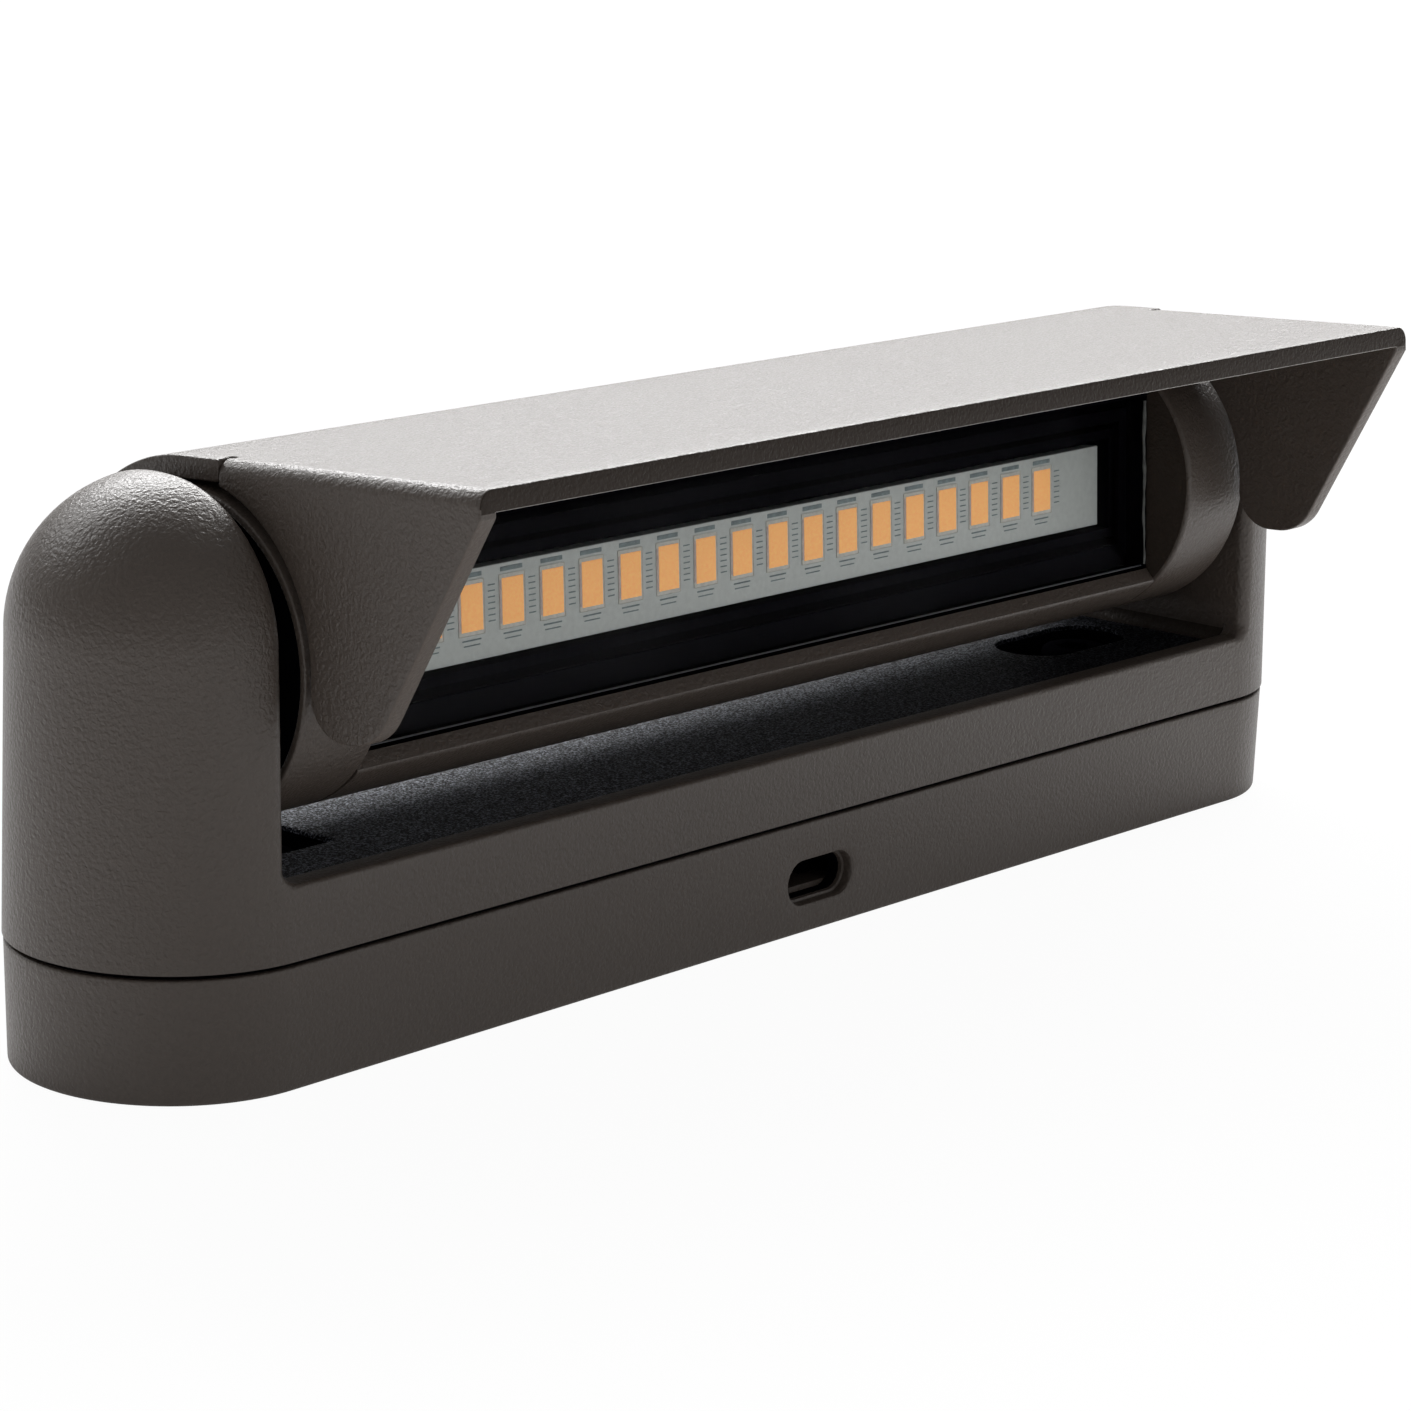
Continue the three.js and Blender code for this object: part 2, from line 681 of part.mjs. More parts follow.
function lensSeal() {
  const sealSpan = [lensSealBackAhead, lensSealFrontAhead]
  const window = headBlock(
    lensHalfLength - lensSealWidth,
    lensHalfHeight - lensSealWidth,
    [lensSealBackAhead - overrun, lensSealFrontAhead + overrun],
  )
  return cut(headBlock(lensHalfLength, lensHalfHeight, sealSpan), [window])
}

function ledTray() {
  const outside = headBlock(trayHalfLength, trayHalfHeight, [trayBackAhead, lensShelfAhead])
  const inside = headBlock(
    trayInnerHalfLength,
    trayInnerHalfHeight,
    [trayFloorAhead, lensShelfAhead + overrun],
  )
  return cut(outside, [inside])
}

function ledBoard() {
  return headBlock(boardHalfLength, boardHeight / 2, [boardBackAhead, boardFrontAhead], boardCentreUp)
}

function ledEmitter(along) {
  const centreUp = boardCentreUp + ledAboveBoardCentre
  return headBlock(ledWidth / 2, ledHeight / 2, [ledBack, ledFrontAhead], centreUp).translate(along, 0, 0)
}

// The hood: a sheet folded down at both sides and curled over the back of the head
function tangentAngle([pointX, pointY], [centreX, centreY], radius) {
  const reach = Math.hypot(pointX - centreX, pointY - centreY)
  const toPoint = Math.atan2(pointY - centreY, pointX - centreX)
  return toPoint - Math.acos(radius / reach)
}

function hoodSideOutline() {
  const frontLow = [hoodFrontAhead, hoodInside - frontDrop]
  const toe = [toeAhead, toeUp]
  const rearLow = -Math.asin(-heelUp / cheekArcRadius)
  const rearHigh = Math.acos(foldRearAhead / cheekArcRadius)
  return [
    [foldRearAhead, hoodHeight],
    [hoodFrontAhead, hoodHeight],
    frontLow,
    ...arc(toe, toeRadius, tangentAngle(frontLow, toe, toeRadius), -quarterTurn, 2 * edgeSteps),
    ...arc([heelAhead, heelUp], heelRadius, -quarterTurn, -2 * quarterTurn, 2 * edgeSteps),
    ...arc([0, 0], cheekArcRadius, rearLow, rearHigh, endSteps).slice(1),
  ]
}

function hood() {
  const insideHalf = hoodHalfLength - hoodSheet
  const low = toeUp - toeRadius - overrun
  const bendCentre = hoodHeight - hoodBend
  const splay = cheekSplayShare * (bendCentre - low)
  const channel = prismAlongY(
    [
      [hoodHalfLength + splay, low],
      ...arc([hoodHalfLength - hoodBend, bendCentre], hoodBend, 0, quarterTurn, edgeSteps),
      ...arc([hoodBend - hoodHalfLength, bendCentre], hoodBend, quarterTurn, 2 * quarterTurn, edgeSteps),
      [-hoodHalfLength - splay, low],
      [-insideHalf - splay, low],
      [-insideHalf, hoodInside],
      [insideHalf, hoodInside],
      [insideHalf + splay, low],
    ],
    [-hoodFrontAhead - overrun, -foldRearAhead + overrun],
  )
  const silhouette = prismAlongX(
    hoodSideOutline().map(([ahead, up]) => [-ahead, up]),
    [-hoodHalfLength - overrun, hoodHalfLength + overrun],
  )
  const curl = prismAlongX(
    [
      [foldRearAhead + lap, hoodInside],
      [foldRearAhead + lap, hoodHeight],
      ...arc([0, 0], hoodHeight, quarterTurn, 2 * quarterTurn, endSteps),
      ...arc([0, 0], hoodInside, 2 * quarterTurn, quarterTurn, endSteps),
    ].map(([ahead, up]) => [-ahead, up]),
    [-hoodHalfLength, hoodHalfLength],
  )
  const screwHoles = bothSides((side) =>
    rodAlongZ(hoodScrew.shank + gap, [0, hoodHeight + overrun], holeSteps)
      .rotateX(-hoodScrewLean)
      .translate(side * hoodScrewAlong, 0, 0),
  )
  const reliefs = bothSides((side) =>
    rodAlongZ(
      reliefRadius,
      [hoodInside - lap, hoodHeight + overrun],
      holeSteps,
      side * (hoodHalfLength - reliefInset),
      reliefSetback - foldRearAhead,
    ),
  )
  return cut(join([overlapOf(channel, silhouette), curl]), [...screwHoles, ...reliefs])
}

function hoodFixing(side) {
  const seated = screw(hoodScrew).translate(0, 0, hoodHeight + gap)
  return seated.rotateX(-hoodScrewLean).translate(side * hoodScrewAlong, 0, 0)
}

// Scene
function named(name, geometry, look) {
  const mesh = new THREE.Mesh(geometry, new THREE.MeshStandardMaterial({ ...look, flatShading: true }))
  mesh.name = name
  return mesh
}

const light = new THREE.Group()
light.add(named('base_housing', baseHousing(), colours.bronze))
light.add(named('bottom_plate', bottomPlate(), colours.bronze))
light.add(named('bottom_seal', bottomSeal(), colours.rubber))
light.add(named('seam_seal', seamSeal(), colours.rubber))
light.add(named('wire_seal', wireSeal(), colours.rubber))
light.add(named('driver_board', driverBoard(), colours.greenBoard))
light.add(named('terminal_block', terminalBlock(), colours.blackPlastic))
light.add(named('yoke', yoke(), colours.bronze))
plateScrewPlaces.forEach(([x, y], i) => {
  const fixing = screw(plateScrew).rotateX(2 * quarterTurn).translate(x, y, plateScrewRecess - gap)
  light.add(named(`bottom_plate_screw_${i + 1}`, fixing, colours.steel))
})
ends.forEach(({ name, side }, i) => {
  const clamp = screw(yokeScrew).translate(yokeScrewPlaces[i], 0, yokeBottom + pocketSeat + gap)
  light.add(named(`yoke_screw_${name}`, clamp, colours.blackSteel))
  light.add(named(`friction_washer_${name}`, frictionWasher(side), colours.rubber))
  light.add(named(`pivot_bushing_${name}`, pivotBushing(side), colours.blackPlastic))
})

const head = new THREE.Group()
head.position.set(0, 0, axisHeight)
head.rotation.x = -restTilt
light.add(head)
head.add(named('head_body', headBody(), colours.bronze))
head.add(named('hood', hood(), colours.bronze))
head.add(named('lens_glass', lensGlass(), colours.glass))
head.add(named('lens_seal', lensSeal(), colours.rubber))
head.add(named('led_tray', ledTray(), colours.blackPlastic))
head.add(named('led_board', ledBoard(), colours.board))
head.add(named('pivot_stud_left', pivotStud(), colours.steel))
head.add(named('pivot_tube_right', pivotTube(), colours.brass))
for (const { name, side } of ends) {
  head.add(named(`end_cap_${name}`, endCap(side), colours.bronze))
  head.add(named(`end_cap_screw_${name}_low`, endCapScrew(side, -1), colours.steel))
  head.add(named(`end_cap_screw_${name}_high`, endCapScrew(side, 1), colours.steel))
  head.add(named(`pivot_nut_${name}`, pivotNut(side), colours.steel))
  head.add(named(`hood_screw_${name}`, hoodFixing(side), colours.steel))
}
for (let i = 0; i < ledCount; i++) {
  const along = (i - (ledCount - 1) / 2) * ledPitch
  head.add(named(`led_${String(i + 1).padStart(2, '0')}`, ledEmitter(along), colours.phosphor))
}

export default light
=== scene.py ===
"""Linear landscape light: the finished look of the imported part, its stage and its camera.

Lengths are in metres. The row frame has +X along the lamp, -Y to the front and +Z up. In the head,
"ahead" is the distance in front of the tilt axis and "up" the distance above it.
"""
import json
import math

import bmesh
import bpy
import numpy as np
from mathutils import Matrix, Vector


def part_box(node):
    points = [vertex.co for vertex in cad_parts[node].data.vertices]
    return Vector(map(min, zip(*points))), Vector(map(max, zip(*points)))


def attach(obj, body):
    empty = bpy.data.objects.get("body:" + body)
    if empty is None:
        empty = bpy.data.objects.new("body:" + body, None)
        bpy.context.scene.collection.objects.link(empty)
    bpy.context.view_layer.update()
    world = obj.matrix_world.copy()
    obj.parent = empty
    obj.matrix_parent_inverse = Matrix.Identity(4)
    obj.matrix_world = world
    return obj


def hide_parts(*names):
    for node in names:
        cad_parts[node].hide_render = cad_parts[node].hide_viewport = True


bl_info = {
    "name": "Linear landscape light",
    "version": (1, 0, 0),
    "blender": (4, 5, 0),
    "location": "3D View > Sidebar > Light",
    "description": "Dresses the packed light with fine surfaces, finishes, a stage and a camera",
    "category": "Object",
}

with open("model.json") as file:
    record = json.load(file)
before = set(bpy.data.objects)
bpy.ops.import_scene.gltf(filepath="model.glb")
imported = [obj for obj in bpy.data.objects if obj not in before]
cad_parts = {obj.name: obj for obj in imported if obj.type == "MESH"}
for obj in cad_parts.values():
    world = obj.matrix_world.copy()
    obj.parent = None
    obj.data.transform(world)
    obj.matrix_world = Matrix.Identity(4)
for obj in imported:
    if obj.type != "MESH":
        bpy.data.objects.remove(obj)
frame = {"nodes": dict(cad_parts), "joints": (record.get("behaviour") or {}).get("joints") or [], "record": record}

MM = 0.001
MERGE_DISTANCE = 0.0004 * MM
STAND = "stand"
HEAD = "head"

# Places that the frame gives
BASE_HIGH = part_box("base_housing")[1]
BASE_TOP_RADIUS = BASE_HIGH.y
HALF_STRAIGHT = BASE_HIGH.x - BASE_HIGH.y
BASE_HEIGHT = BASE_HIGH.z
YOKE_LOW, YOKE_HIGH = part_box("yoke")
YOKE_FOOT_RADIUS = YOKE_HIGH.y
YOKE_BOTTOM = YOKE_LOW.z
AXIS_HEIGHT = frame["joints"][0]["pos_m"][2]
HEAD_RADIUS = (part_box("end_cap_left")[1].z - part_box("end_cap_left")[0].z) / 2
HEAD_HALF_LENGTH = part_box("end_cap_right")[1].x
BODY_HALF_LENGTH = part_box("head_body")[1].x

# Base
BASE_FOOT_RADIUS = BASE_TOP_RADIUS - 0.15 * MM
BASE_EDGE = 0.3 * MM
BASE_WALL_ROWS = 8
END_STEPS = 64
PLATE_RECESS_RADIUS = BASE_FOOT_RADIUS - 1.8 * MM
PLATE_RECESS_HEIGHT = 2.5 * MM
SLOT_HALF_STRAIGHT = 1.7 * MM
SLOT_RADIUS = 1.4 * MM
SLOT_CENTRE = (0, -(BASE_FOOT_RADIUS + 0.06 * MM), BASE_HEIGHT / 2 - 0.3 * MM)
SLOT_WINDOW = 4.2 * MM
SLOT_COLUMNS = 16
# A hole's profile gives the offset of its outline and the depth at each step down
SLOT_PROFILE = MM * np.array([
    (0.3, 0), (0.2, 0.02), (0.08, 0.08), (0.02, 0.2), (0, 0.32), (0, 0.7), (-0.16, 0.75),
    (-0.2, 1.0), (-0.2, 1.8), (0.9, 1.8), (0.9, 5),
])
# From this loop down the slot is black: painted shade
SLOT_DARK_FROM = 8

# Yoke
SHOULDER_HEIGHT = AXIS_HEIGHT + 1.26 * MM
POST_RADIUS = YOKE_FOOT_RADIUS - 0.34 * MM
POST_FACE = HALF_STRAIGHT + 0.5 * MM
POST_EDGE = 0.9 * MM
POST_ROWS = 12
DOME_FLAT = 0.45 * MM
DOME_LEAN = np.radians(np.linspace(0, 180, 49))[1:-1]
FLOOR_HEIGHT = YOKE_BOTTOM + 3.8 * MM
LIP_HEIGHT = FLOOR_HEIGHT + 0.55 * MM
LIP_WIDTH = 1.8 * MM
LIP_EDGE = 0.3 * MM
LIP_INNER_EDGE = 0.25 * MM
FLOOR_MARGIN = 0.05 * MM
TROUGH_FILLET = 0.9 * MM
TROUGH_TUCK = 0.3 * MM
POCKET_HALF_WIDTH = 2.85 * MM
POCKET_STARTS = (HALF_STRAIGHT - 9.6 * MM, HALF_STRAIGHT - 13.7 * MM)
POCKET_END = HALF_STRAIGHT - 2.3 * MM
POCKET_WINDOW = 1.3
POCKET_CELLS = 12
POCKET_PROFILE = MM * np.array([(0.16, 0), (0.05, 0.04), (0, 0.16), (0, 0.3), (0, 2.5)])
# From this loop down a pocket is black: painted shade
POCKET_DARK_FROM = 4

# Head
REST_TILT = math.radians(3.05)
TILT_COS, TILT_SIN = math.cos(REST_TILT), math.sin(REST_TILT)
LIP_AHEAD = HEAD_RADIUS - 2.9 * MM
LIP_ROUND_ANGLE = 1.5
LENS_AHEAD = LIP_AHEAD - 0.65 * MM
LENS_HALF_HEIGHT = 5.75 * MM
LENS_THICKNESS = 1.0 * MM
SHELF_AHEAD = LENS_AHEAD - 1.9 * MM
SHELF_HALF_HEIGHT = LENS_HALF_HEIGHT + 0.3 * MM
RECESS_AHEAD = LENS_AHEAD - 5.1 * MM
RECESS_HALF_HEIGHT = 4.3 * MM
BODY_STEPS = 120
RECESS_START = BODY_STEPS + 4
# The faces behind the lens are black, and the slope and round above it black as painted shade
RECESS_AND_SHADED_SLOPE_FACES = 9
RING_STEPS = 144
RING_BORE = 2.9 * MM
RING_EDGE = 0.28 * MM
RING_FINE_EDGE = 0.16 * MM
RING_SUNK = 0.5 * MM
RING_RIM = HEAD_RADIUS - 0.5 * MM

# Light engine
PRINT_RISE = 0.02 * MM
# A mark's middle beside and above its emitter's, its half width and half height, in millimetres
GLOW = (0.05, 0, 0.91, 1.4)
STRIP = (-0.99, 0, 0.09, 1.3)
# One dash above an emitter, two below it, and short ones at its side
DASHES = [(0, 1.95, 0.95, 0.14), (0, -1.93, 0.8, 0.05), (0, -2.24, 0.7, 0.04)]
DASHES += [(1.74, 1.15 - 0.36 * step, 0.3, 0.04) for step in range(7)]

# Hood
HOOD_HALF_LENGTH = HEAD_HALF_LENGTH - 0.28 * MM
HOOD_SHEET = 1.3 * MM
HOOD_HEIGHT = HEAD_RADIUS + 0.25 * MM + HOOD_SHEET
HOOD_INSIDE = HOOD_HEIGHT - HOOD_SHEET
HOOD_FRONT = HEAD_RADIUS + 13.35 * MM
HOOD_BEND = 1.0 * MM
HOOD_EDGE = 0.13 * MM
SCREW_LIFT = 0.28 * MM
FOLD_REAR = 3.0 * MM
FRONT_DROP = 0.3 * MM
CHEEK_SPLAY = 0.038
CHEEK_ARC = HEAD_RADIUS + 0.5 * MM
RELIEF_RADIUS = 0.3 * MM
RELIEF_INSET = 1.1 * MM
SLIT_HALF_WIDTH = 0.03 * MM
TOE_RADIUS = 3.1 * MM
HEEL_RADIUS = 2.5 * MM
TOE_AHEAD = CHEEK_ARC + 3.15 * MM
TOE_UP = -0.35 * MM
CHEEK_BOTTOM = TOE_UP - TOE_RADIUS
HEEL_UP = CHEEK_BOTTOM + HEEL_RADIUS
HEEL_AHEAD = math.sqrt(CHEEK_ARC ** 2 - HEEL_UP ** 2) + HEEL_RADIUS
CURL_START = -math.pi / 2 * HOOD_HEIGHT
EDGE_TURN = np.radians(np.linspace(0, 90, 5))
RIM_INSET = HOOD_EDGE * (1 - np.sin(EDGE_TURN))
RIM_DEPTH = HOOD_EDGE * (1 - np.cos(EDGE_TURN))
FOLD_SHARES = np.linspace(0, 1, 14)[1:-1]

# Stage, with the camera fitted to the photograph, which is square
FLOOR_REACH = 3.0
LAMP_AIM = (0, 0, 0.03)
LEFT_SHARE = 0.12
TABLE_SEEN = 0.96
CAMERA_PLACE = (-0.203887, -0.176362, 0.077631)
CAMERA_YAW = math.radians(49.081)
CAMERA_PITCH = math.radians(-13.507)
CAMERA_ROLL = math.radians(1.377)
CAMERA_LENS = 110.2
SENSOR = 36.0


# Mesh helpers

def angles(start, end, steps):
    """Even angles in radians, from one to another given in degrees."""
    return np.radians(np.linspace(start, end, steps + 1))


def surface(points, closed=True):
    """A patch from a grid of points, given as an array of rows, columns and three coordinates. A
    closed one joins its last column to its first."""
    rows, columns = points.shape[:2]
    index = np.arange(rows * columns).reshape(rows, columns)
    if closed:
        index = np.hstack([index, index[:, :1]])
    corners = [index[:-1, :-1], index[1:, :-1], index[1:, 1:], index[:-1, 1:]]
    return points.reshape(-1, 3), np.stack(corners, axis=-1).reshape(-1, 4).tolist()


def end_caps(points):
    """Flat faces over the first and the last row of a grid of points."""
    rows, columns = points.shape[:2]
    return [list(range(columns)), list(range((rows - 1) * columns, rows * columns))]


def capped(points):
    """A closed patch with both of its ends capped."""
    shell, faces = surface(points)
    return shell, faces + end_caps(points)


def arc(centre, radius, start, end, steps):
    """Points round a circle from one angle to another: centre plus radius times (cosine, sine)."""
    angle = angles(start, end, steps)
    return np.stack([centre[0] + radius * np.cos(angle), centre[1] + radius * np.sin(angle)], -1)


def stadium_path(front):
    """The base's round-ended path: the centres it starts from, and the cosines and sines of its
    outward directions. The front straight has points at the given places, where a hole needs them."""
    turn = angles(-90, 90, END_STEPS)
    end = np.full_like(turn, HALF_STRAIGHT)
    centre = np.concatenate([front, end, -end])
    angle = np.concatenate([np.full_like(front, turn[0]), turn, turn + math.pi])
    return centre, np.cos(angle), np.sin(angle)


def ring_at(path, radius, height):
    """One ring of the stadium family: centre plus radius times direction, at one height."""
    centre, cos, sin = path
    return np.stack([centre + radius * cos, radius * sin, np.full(len(cos), height)], axis=-1)


def obround(directions, half_straight, radius):
    """Where rays from the middle meet a round-ended slot, as points in the slot's own plane."""
    cos, sin = directions[:, 0], directions[:, 1]
    steep = np.maximum(np.abs(sin), 1e-9)
    straight = radius / steep
    root = np.sqrt(np.maximum(radius ** 2 - (half_straight * sin) ** 2, 0))
    rounded = half_straight * np.abs(cos) + root
    reach = np.where(straight * np.abs(cos) <= half_straight, straight, rounded)
    return directions * reach[:, None]


def oblong(directions, half_length, half_width):
    """Where rays from the middle meet a rectangle, as points in its own plane."""
    along, across = np.maximum(np.abs(directions), 1e-9).T
    return directions * np.minimum(half_length / along, half_width / across)[:, None]


def punch(points, window, centre, plane, outline, profile):
    """The loops of a hole in a grid surface, from its window's border down the hole. Each step of
    the profile is an offset of the hole's outline and a depth.

    window is (first row, last row, first column, last column), plane holds the two directions that
    the outline lies along and the direction of the depth, and outline gives points for an offset."""
    top, bottom, left, right = window
    border = np.concatenate([
        points[top, left:right],
        points[top:bottom, right],
        points[bottom, left + 1:right + 1][::-1],
        points[top + 1:bottom + 1, left][::-1],
    ])
    first, second, inward = (np.asarray(axis, float) for axis in plane)
    away = border - centre
    directions = np.stack([away @ first, away @ second], axis=-1)
    directions /= np.linalg.norm(directions, axis=1)[:, None]
    loops = [border]
    for offset, depth in profile:
        shape = outline(directions, offset)
        loops.append(centre + shape[:, :1] * first + shape[:, 1:] * second + depth * inward)
    return np.stack(loops)


def holed(points, windows):
    """A closed patch without the quads inside some windows of its grid."""
    shell, faces = surface(points)
    whole = np.ones((len(points) - 1, points.shape[1]), bool)
    for top, bottom, left, right in windows:
        whole[top:bottom, left:right] = False
    return shell, [face for face, keep in zip(faces, whole.ravel()) if keep]


def tunnel(loops, dark_from, rim_number=0):
    """The patches of a hole: its rim, and from one loop onwards its wall and floor in black, which is painted
    shade.
    """
    wall, faces = surface(loops[dark_from:])
    faces += end_caps(loops[dark_from:])[1:]
    return [(*surface(loops[:dark_from + 1]), rim_number), (wall, faces, 1)]


def split(patch, passes, number):
    """Two patches from one: the faces whose points all pass a test get a finish number of their
    own."""
    points, faces = patch
    rest, chosen = [], []
    for face in faces:
        (chosen if passes[face].all() else rest).append(face)
    return [(points, rest), (points, chosen, number)]


def add_object(name, data):
    """A new object in the scene."""
    made = bpy.data.objects.new(name, data)
    bpy.context.scene.collection.objects.link(made)
    return made


def make_piece(name, patches, finishes, body, replaced=(), sharp=35):
    """Joins patches into one mesh with its faces outwards, and hangs it on a body of the frame. Edges
    that turn by more than a number of degrees are sharp.

    A patch is (points, faces) or (points, faces, number of its finish)."""
    points = np.concatenate([patch[0] for patch in patches])
    faces, numbers, start = [], [], 0
    for patch in patches:
        faces += [[start + corner for corner in face] for face in patch[1]]
        numbers += [patch[2] if len(patch) > 2 else 0] * len(patch[1])
        start += len(patch[0])
    mesh = bpy.data.meshes.new(name)
    mesh.from_pydata(points.tolist(), [], faces)
    mesh.polygons.foreach_set("material_index", numbers)
    shape = bmesh.new()
    shape.from_mesh(mesh)
    bmesh.ops.remove_doubles(shape, verts=shape.verts, dist=MERGE_DISTANCE)
    bmesh.ops.recalc_face_normals(shape, faces=shape.faces)
    shape.to_mesh(mesh)
    shape.free()
    for finish in finishes:
        mesh.materials.append(finish_of(finish))
    mesh.polygons.foreach_set("use_smooth", np.ones(len(mesh.polygons), bool))
    mesh.set_sharp_from_angle(angle=math.radians(sharp))
    piece = add_object(name, mesh)
    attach(piece, body)
    if replaced:
        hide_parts(*replaced)


def in_head(along, ahead, up):
    """Places in the head, turned about the tilt axis to its rest tilt, in the row frame."""
    along, ahead, up = np.broadcast_arrays(along, ahead, up)
    across, rise = up * TILT_SIN - ahead * TILT_COS, ahead * TILT_SIN + up * TILT_COS
    return np.stack([along, across, AXIS_HEIGHT + rise], axis=-1)


def from_head(points):
    """The (along, ahead, up) places of points in the row frame, as three arrays."""
    along, across, height = points.T
    rise = height - AXIS_HEIGHT
    return along, rise * TILT_SIN - across * TILT_COS, rise * TILT_COS + across * TILT_SIN


def vertices_of(part):
    """A part's vertices as an array of points."""
    points = np.empty(len(part.data.vertices) * 3)
    part.data.vertices.foreach_get("co", points)
    return points.reshape(-1, 3)


def head_block(low, high, edge):
    """A rounded box given by its (along, ahead, up) limits in the head: every side is pulled in by
    the edge, and the corners are moved out along the directions of a sphere's grid."""
    low, high = np.asarray(low, float), np.asarray(high, float)
    middle, half = (low + high) / 2, (high - low) / 2 - edge
    quarter = angles(0, 90, 4)
    count = len(quarter)
    turn = np.concatenate([quarter + angle for angle in np.radians((0, 90, 180, 270))])
    rise = np.concatenate([quarter - math.pi / 2, quarter])[:, None]
    reach = edge * np.cos(rise)
    along = middle[0] + np.repeat([1, -1, -1, 1], count) * half[0] + reach * np.cos(turn)
    ahead = middle[1] + np.repeat([1, 1, -1, -1], count) * half[1] + reach * np.sin(turn)
    up = middle[2] + np.repeat([-1, 1], count)[:, None] * half[2] + edge * np.sin(rise)
    return capped(in_head(along, ahead, up))


# Materials

def feed(tree, node, inputs):
    """Gives each named input of a node a value, or a link from another node's output."""
    for name, source in inputs.items():
        if isinstance(source, bpy.types.NodeSocket):
            tree.links.new(source, node.inputs[name])
        else:
            node.inputs[name].default_value = source


def add_node(tree, kind, inputs=(), output=0, **settings):
    """Adds a shader node with its settings and inputs, and returns one of its outputs."""
    node = tree.nodes.new(f"ShaderNode{kind}")
    for name, value in settings.items():
        setattr(node, name, value)
    feed(tree, node, dict(inputs))
    return node.outputs[output]


def show_mix(tree, end, share, first, second):
    """Ends a node tree in a mix of two shaders."""
    mix = add_node(tree, "MixShader", {"Fac": share, 1: first, 2: second})
    feed(tree, tree.nodes[end], {"Surface": mix})


def new_material(name):
    """A new material, its node tree and its shader."""
    material = bpy.data.materials.new(name)
    material.use_nodes = True
    return material, material.node_tree, material.node_tree.nodes["Principled BSDF"]


def object_noise(tree, scale, detail=3.0, roughness=0.5, distortion=0.0):
    """Noise that stays with the piece, in cells of one metre divided by the scale."""
    place = add_node(tree, "TexCoord", output="Object")
    return add_node(tree, "TexNoise", {
        "Vector": place, "Scale": scale, "Detail": detail,
        "Roughness": roughness, "Distortion": distortion,
    }, "Fac")


def ramp(tree, source, *stops):
    """Colours along a value. A stop is a place and a colour, or a place and a grey level."""
    colours = add_node(tree, "ValToRGB", {"Fac": source}, "Color")
    elements = colours.node.color_ramp.elements
    while len(elements) < len(stops):
        elements.new(0.5)
    for element, (place, colour) in zip(elements, stops):
        element.position = place
        element.color = (*np.broadcast_to(colour, 3).tolist(), 1)
    return colours


def bump(tree, height, strength, distance, **below):
    """The surface's direction, tilted by the slope of a height that reaches a distance in metres."""
    inputs = {"Strength": strength, "Distance": distance, "Height": height}
    return add_node(tree, "Bump", {**inputs, **below})


def powder_coat(name, colour, roughness, mirror):
    """Baked powder paint: a skin of small soft lumps with a fine grain."""
    material, tree, shader = new_material(name)
    lumps = object_noise(tree, 3600, 1.6, 0.55, 0.3)
    grain = object_noise(tree, 7500, 1.0)
    skin = bump(tree, lumps, 1.0, 0.08 * MM)
    feed(tree, shader, {
        "Specular IOR Level": mirror,
        "Base Color": ramp(tree, lumps, (0.3, 0.94 * colour), (0.7, 1.06 * colour)),
        "Roughness": ramp(tree, grain, (0.3, roughness - 0.05), (0.7, roughness + 0.07)),
        "Normal": bump(tree, grain, 0.9, 0.018 * MM, Normal=skin),
    })
    return material


def painted_shade_and_glint_coat(name):
    """Near black paint with pale blue-grey specks and coarse glinting lumps. The near black is painted shade and
    the pale specks a painted reflection, and both darken along X, to a third towards the right end."""
    material, tree, shader = new_material(name)
    specks = object_noise(tree, 7500, 1.5, 0.7)
    place = add_node(tree, "TexCoord", output="Object")
    # Painted shade: the colours and the mirror fall to a third from left to right
    share = add_node(tree, "MapRange", {
        "Value": add_node(tree, "SeparateXYZ", {0: place}, "X"),
        "From Min": -20 * MM, "From Max": 30 * MM, "To Min": 1.0, "To Max": 0.33,
    })

    def darkened_to_the_right(*stops):
        colours = ramp(tree, specks, *stops)
        return add_node(tree, "VectorMath", {0: colours, "Scale": share}, operation="SCALE")

    # The near black stops are painted shade, the pale blue-grey one a painted reflection
    shade_and_glint_colours = (0.42, (0.005, 0.0055, 0.007)), (0.52, (0.02, 0.022, 0.028)), (0.66, (0.23, 0.25, 0.3))
    feed(tree, shader, {
        "Roughness": 0.5,
        "Base Color": darkened_to_the_right(*shade_and_glint_colours),
        "Specular IOR Level": darkened_to_the_right((0.4, 0.01), (0.62, 0.13)),
        "Normal": bump(tree, specks, 1.0, 0.1 * MM),
    })
    return material


def plain_finish(name, colour, roughness, metallic=0.0, spread=0.08, grain=4000):
    """A plain finish with a faint grain in its colour, gloss and skin."""
    material, tree, shader = new_material(name)
    noise = object_noise(tree, grain, 2.0)
    colour = np.array(colour)
    feed(tree, shader, {
        "Metallic": metallic,
        "Base Color": ramp(tree, noise, (0.25, (1 - spread) * colour), (0.75, (1 + spread) * colour)),
        "Roughness": ramp(tree, noise, (0.25, 0.9 * roughness), (0.75, 1.1 * roughness)),
        "Normal": bump(tree, noise, 0.3, 0.004 * MM),
    })
    return material


def phosphor_with_painted_glow(name, colour):
    """Grainy phosphor with a faint painted glow of its own, though the emitters are unlit."""
    material = plain_finish(name, colour, 0.6, spread=0.12, grain=6000)
    tree = material.node_tree
    feed(tree, tree.nodes["Principled BSDF"], {
        # Painted glow: the unlit emitters give a little light of their own
        "Specular IOR Level": 0.2, "Emission Color": (*colour, 1), "Emission Strength": 0.215,
    })
    return material


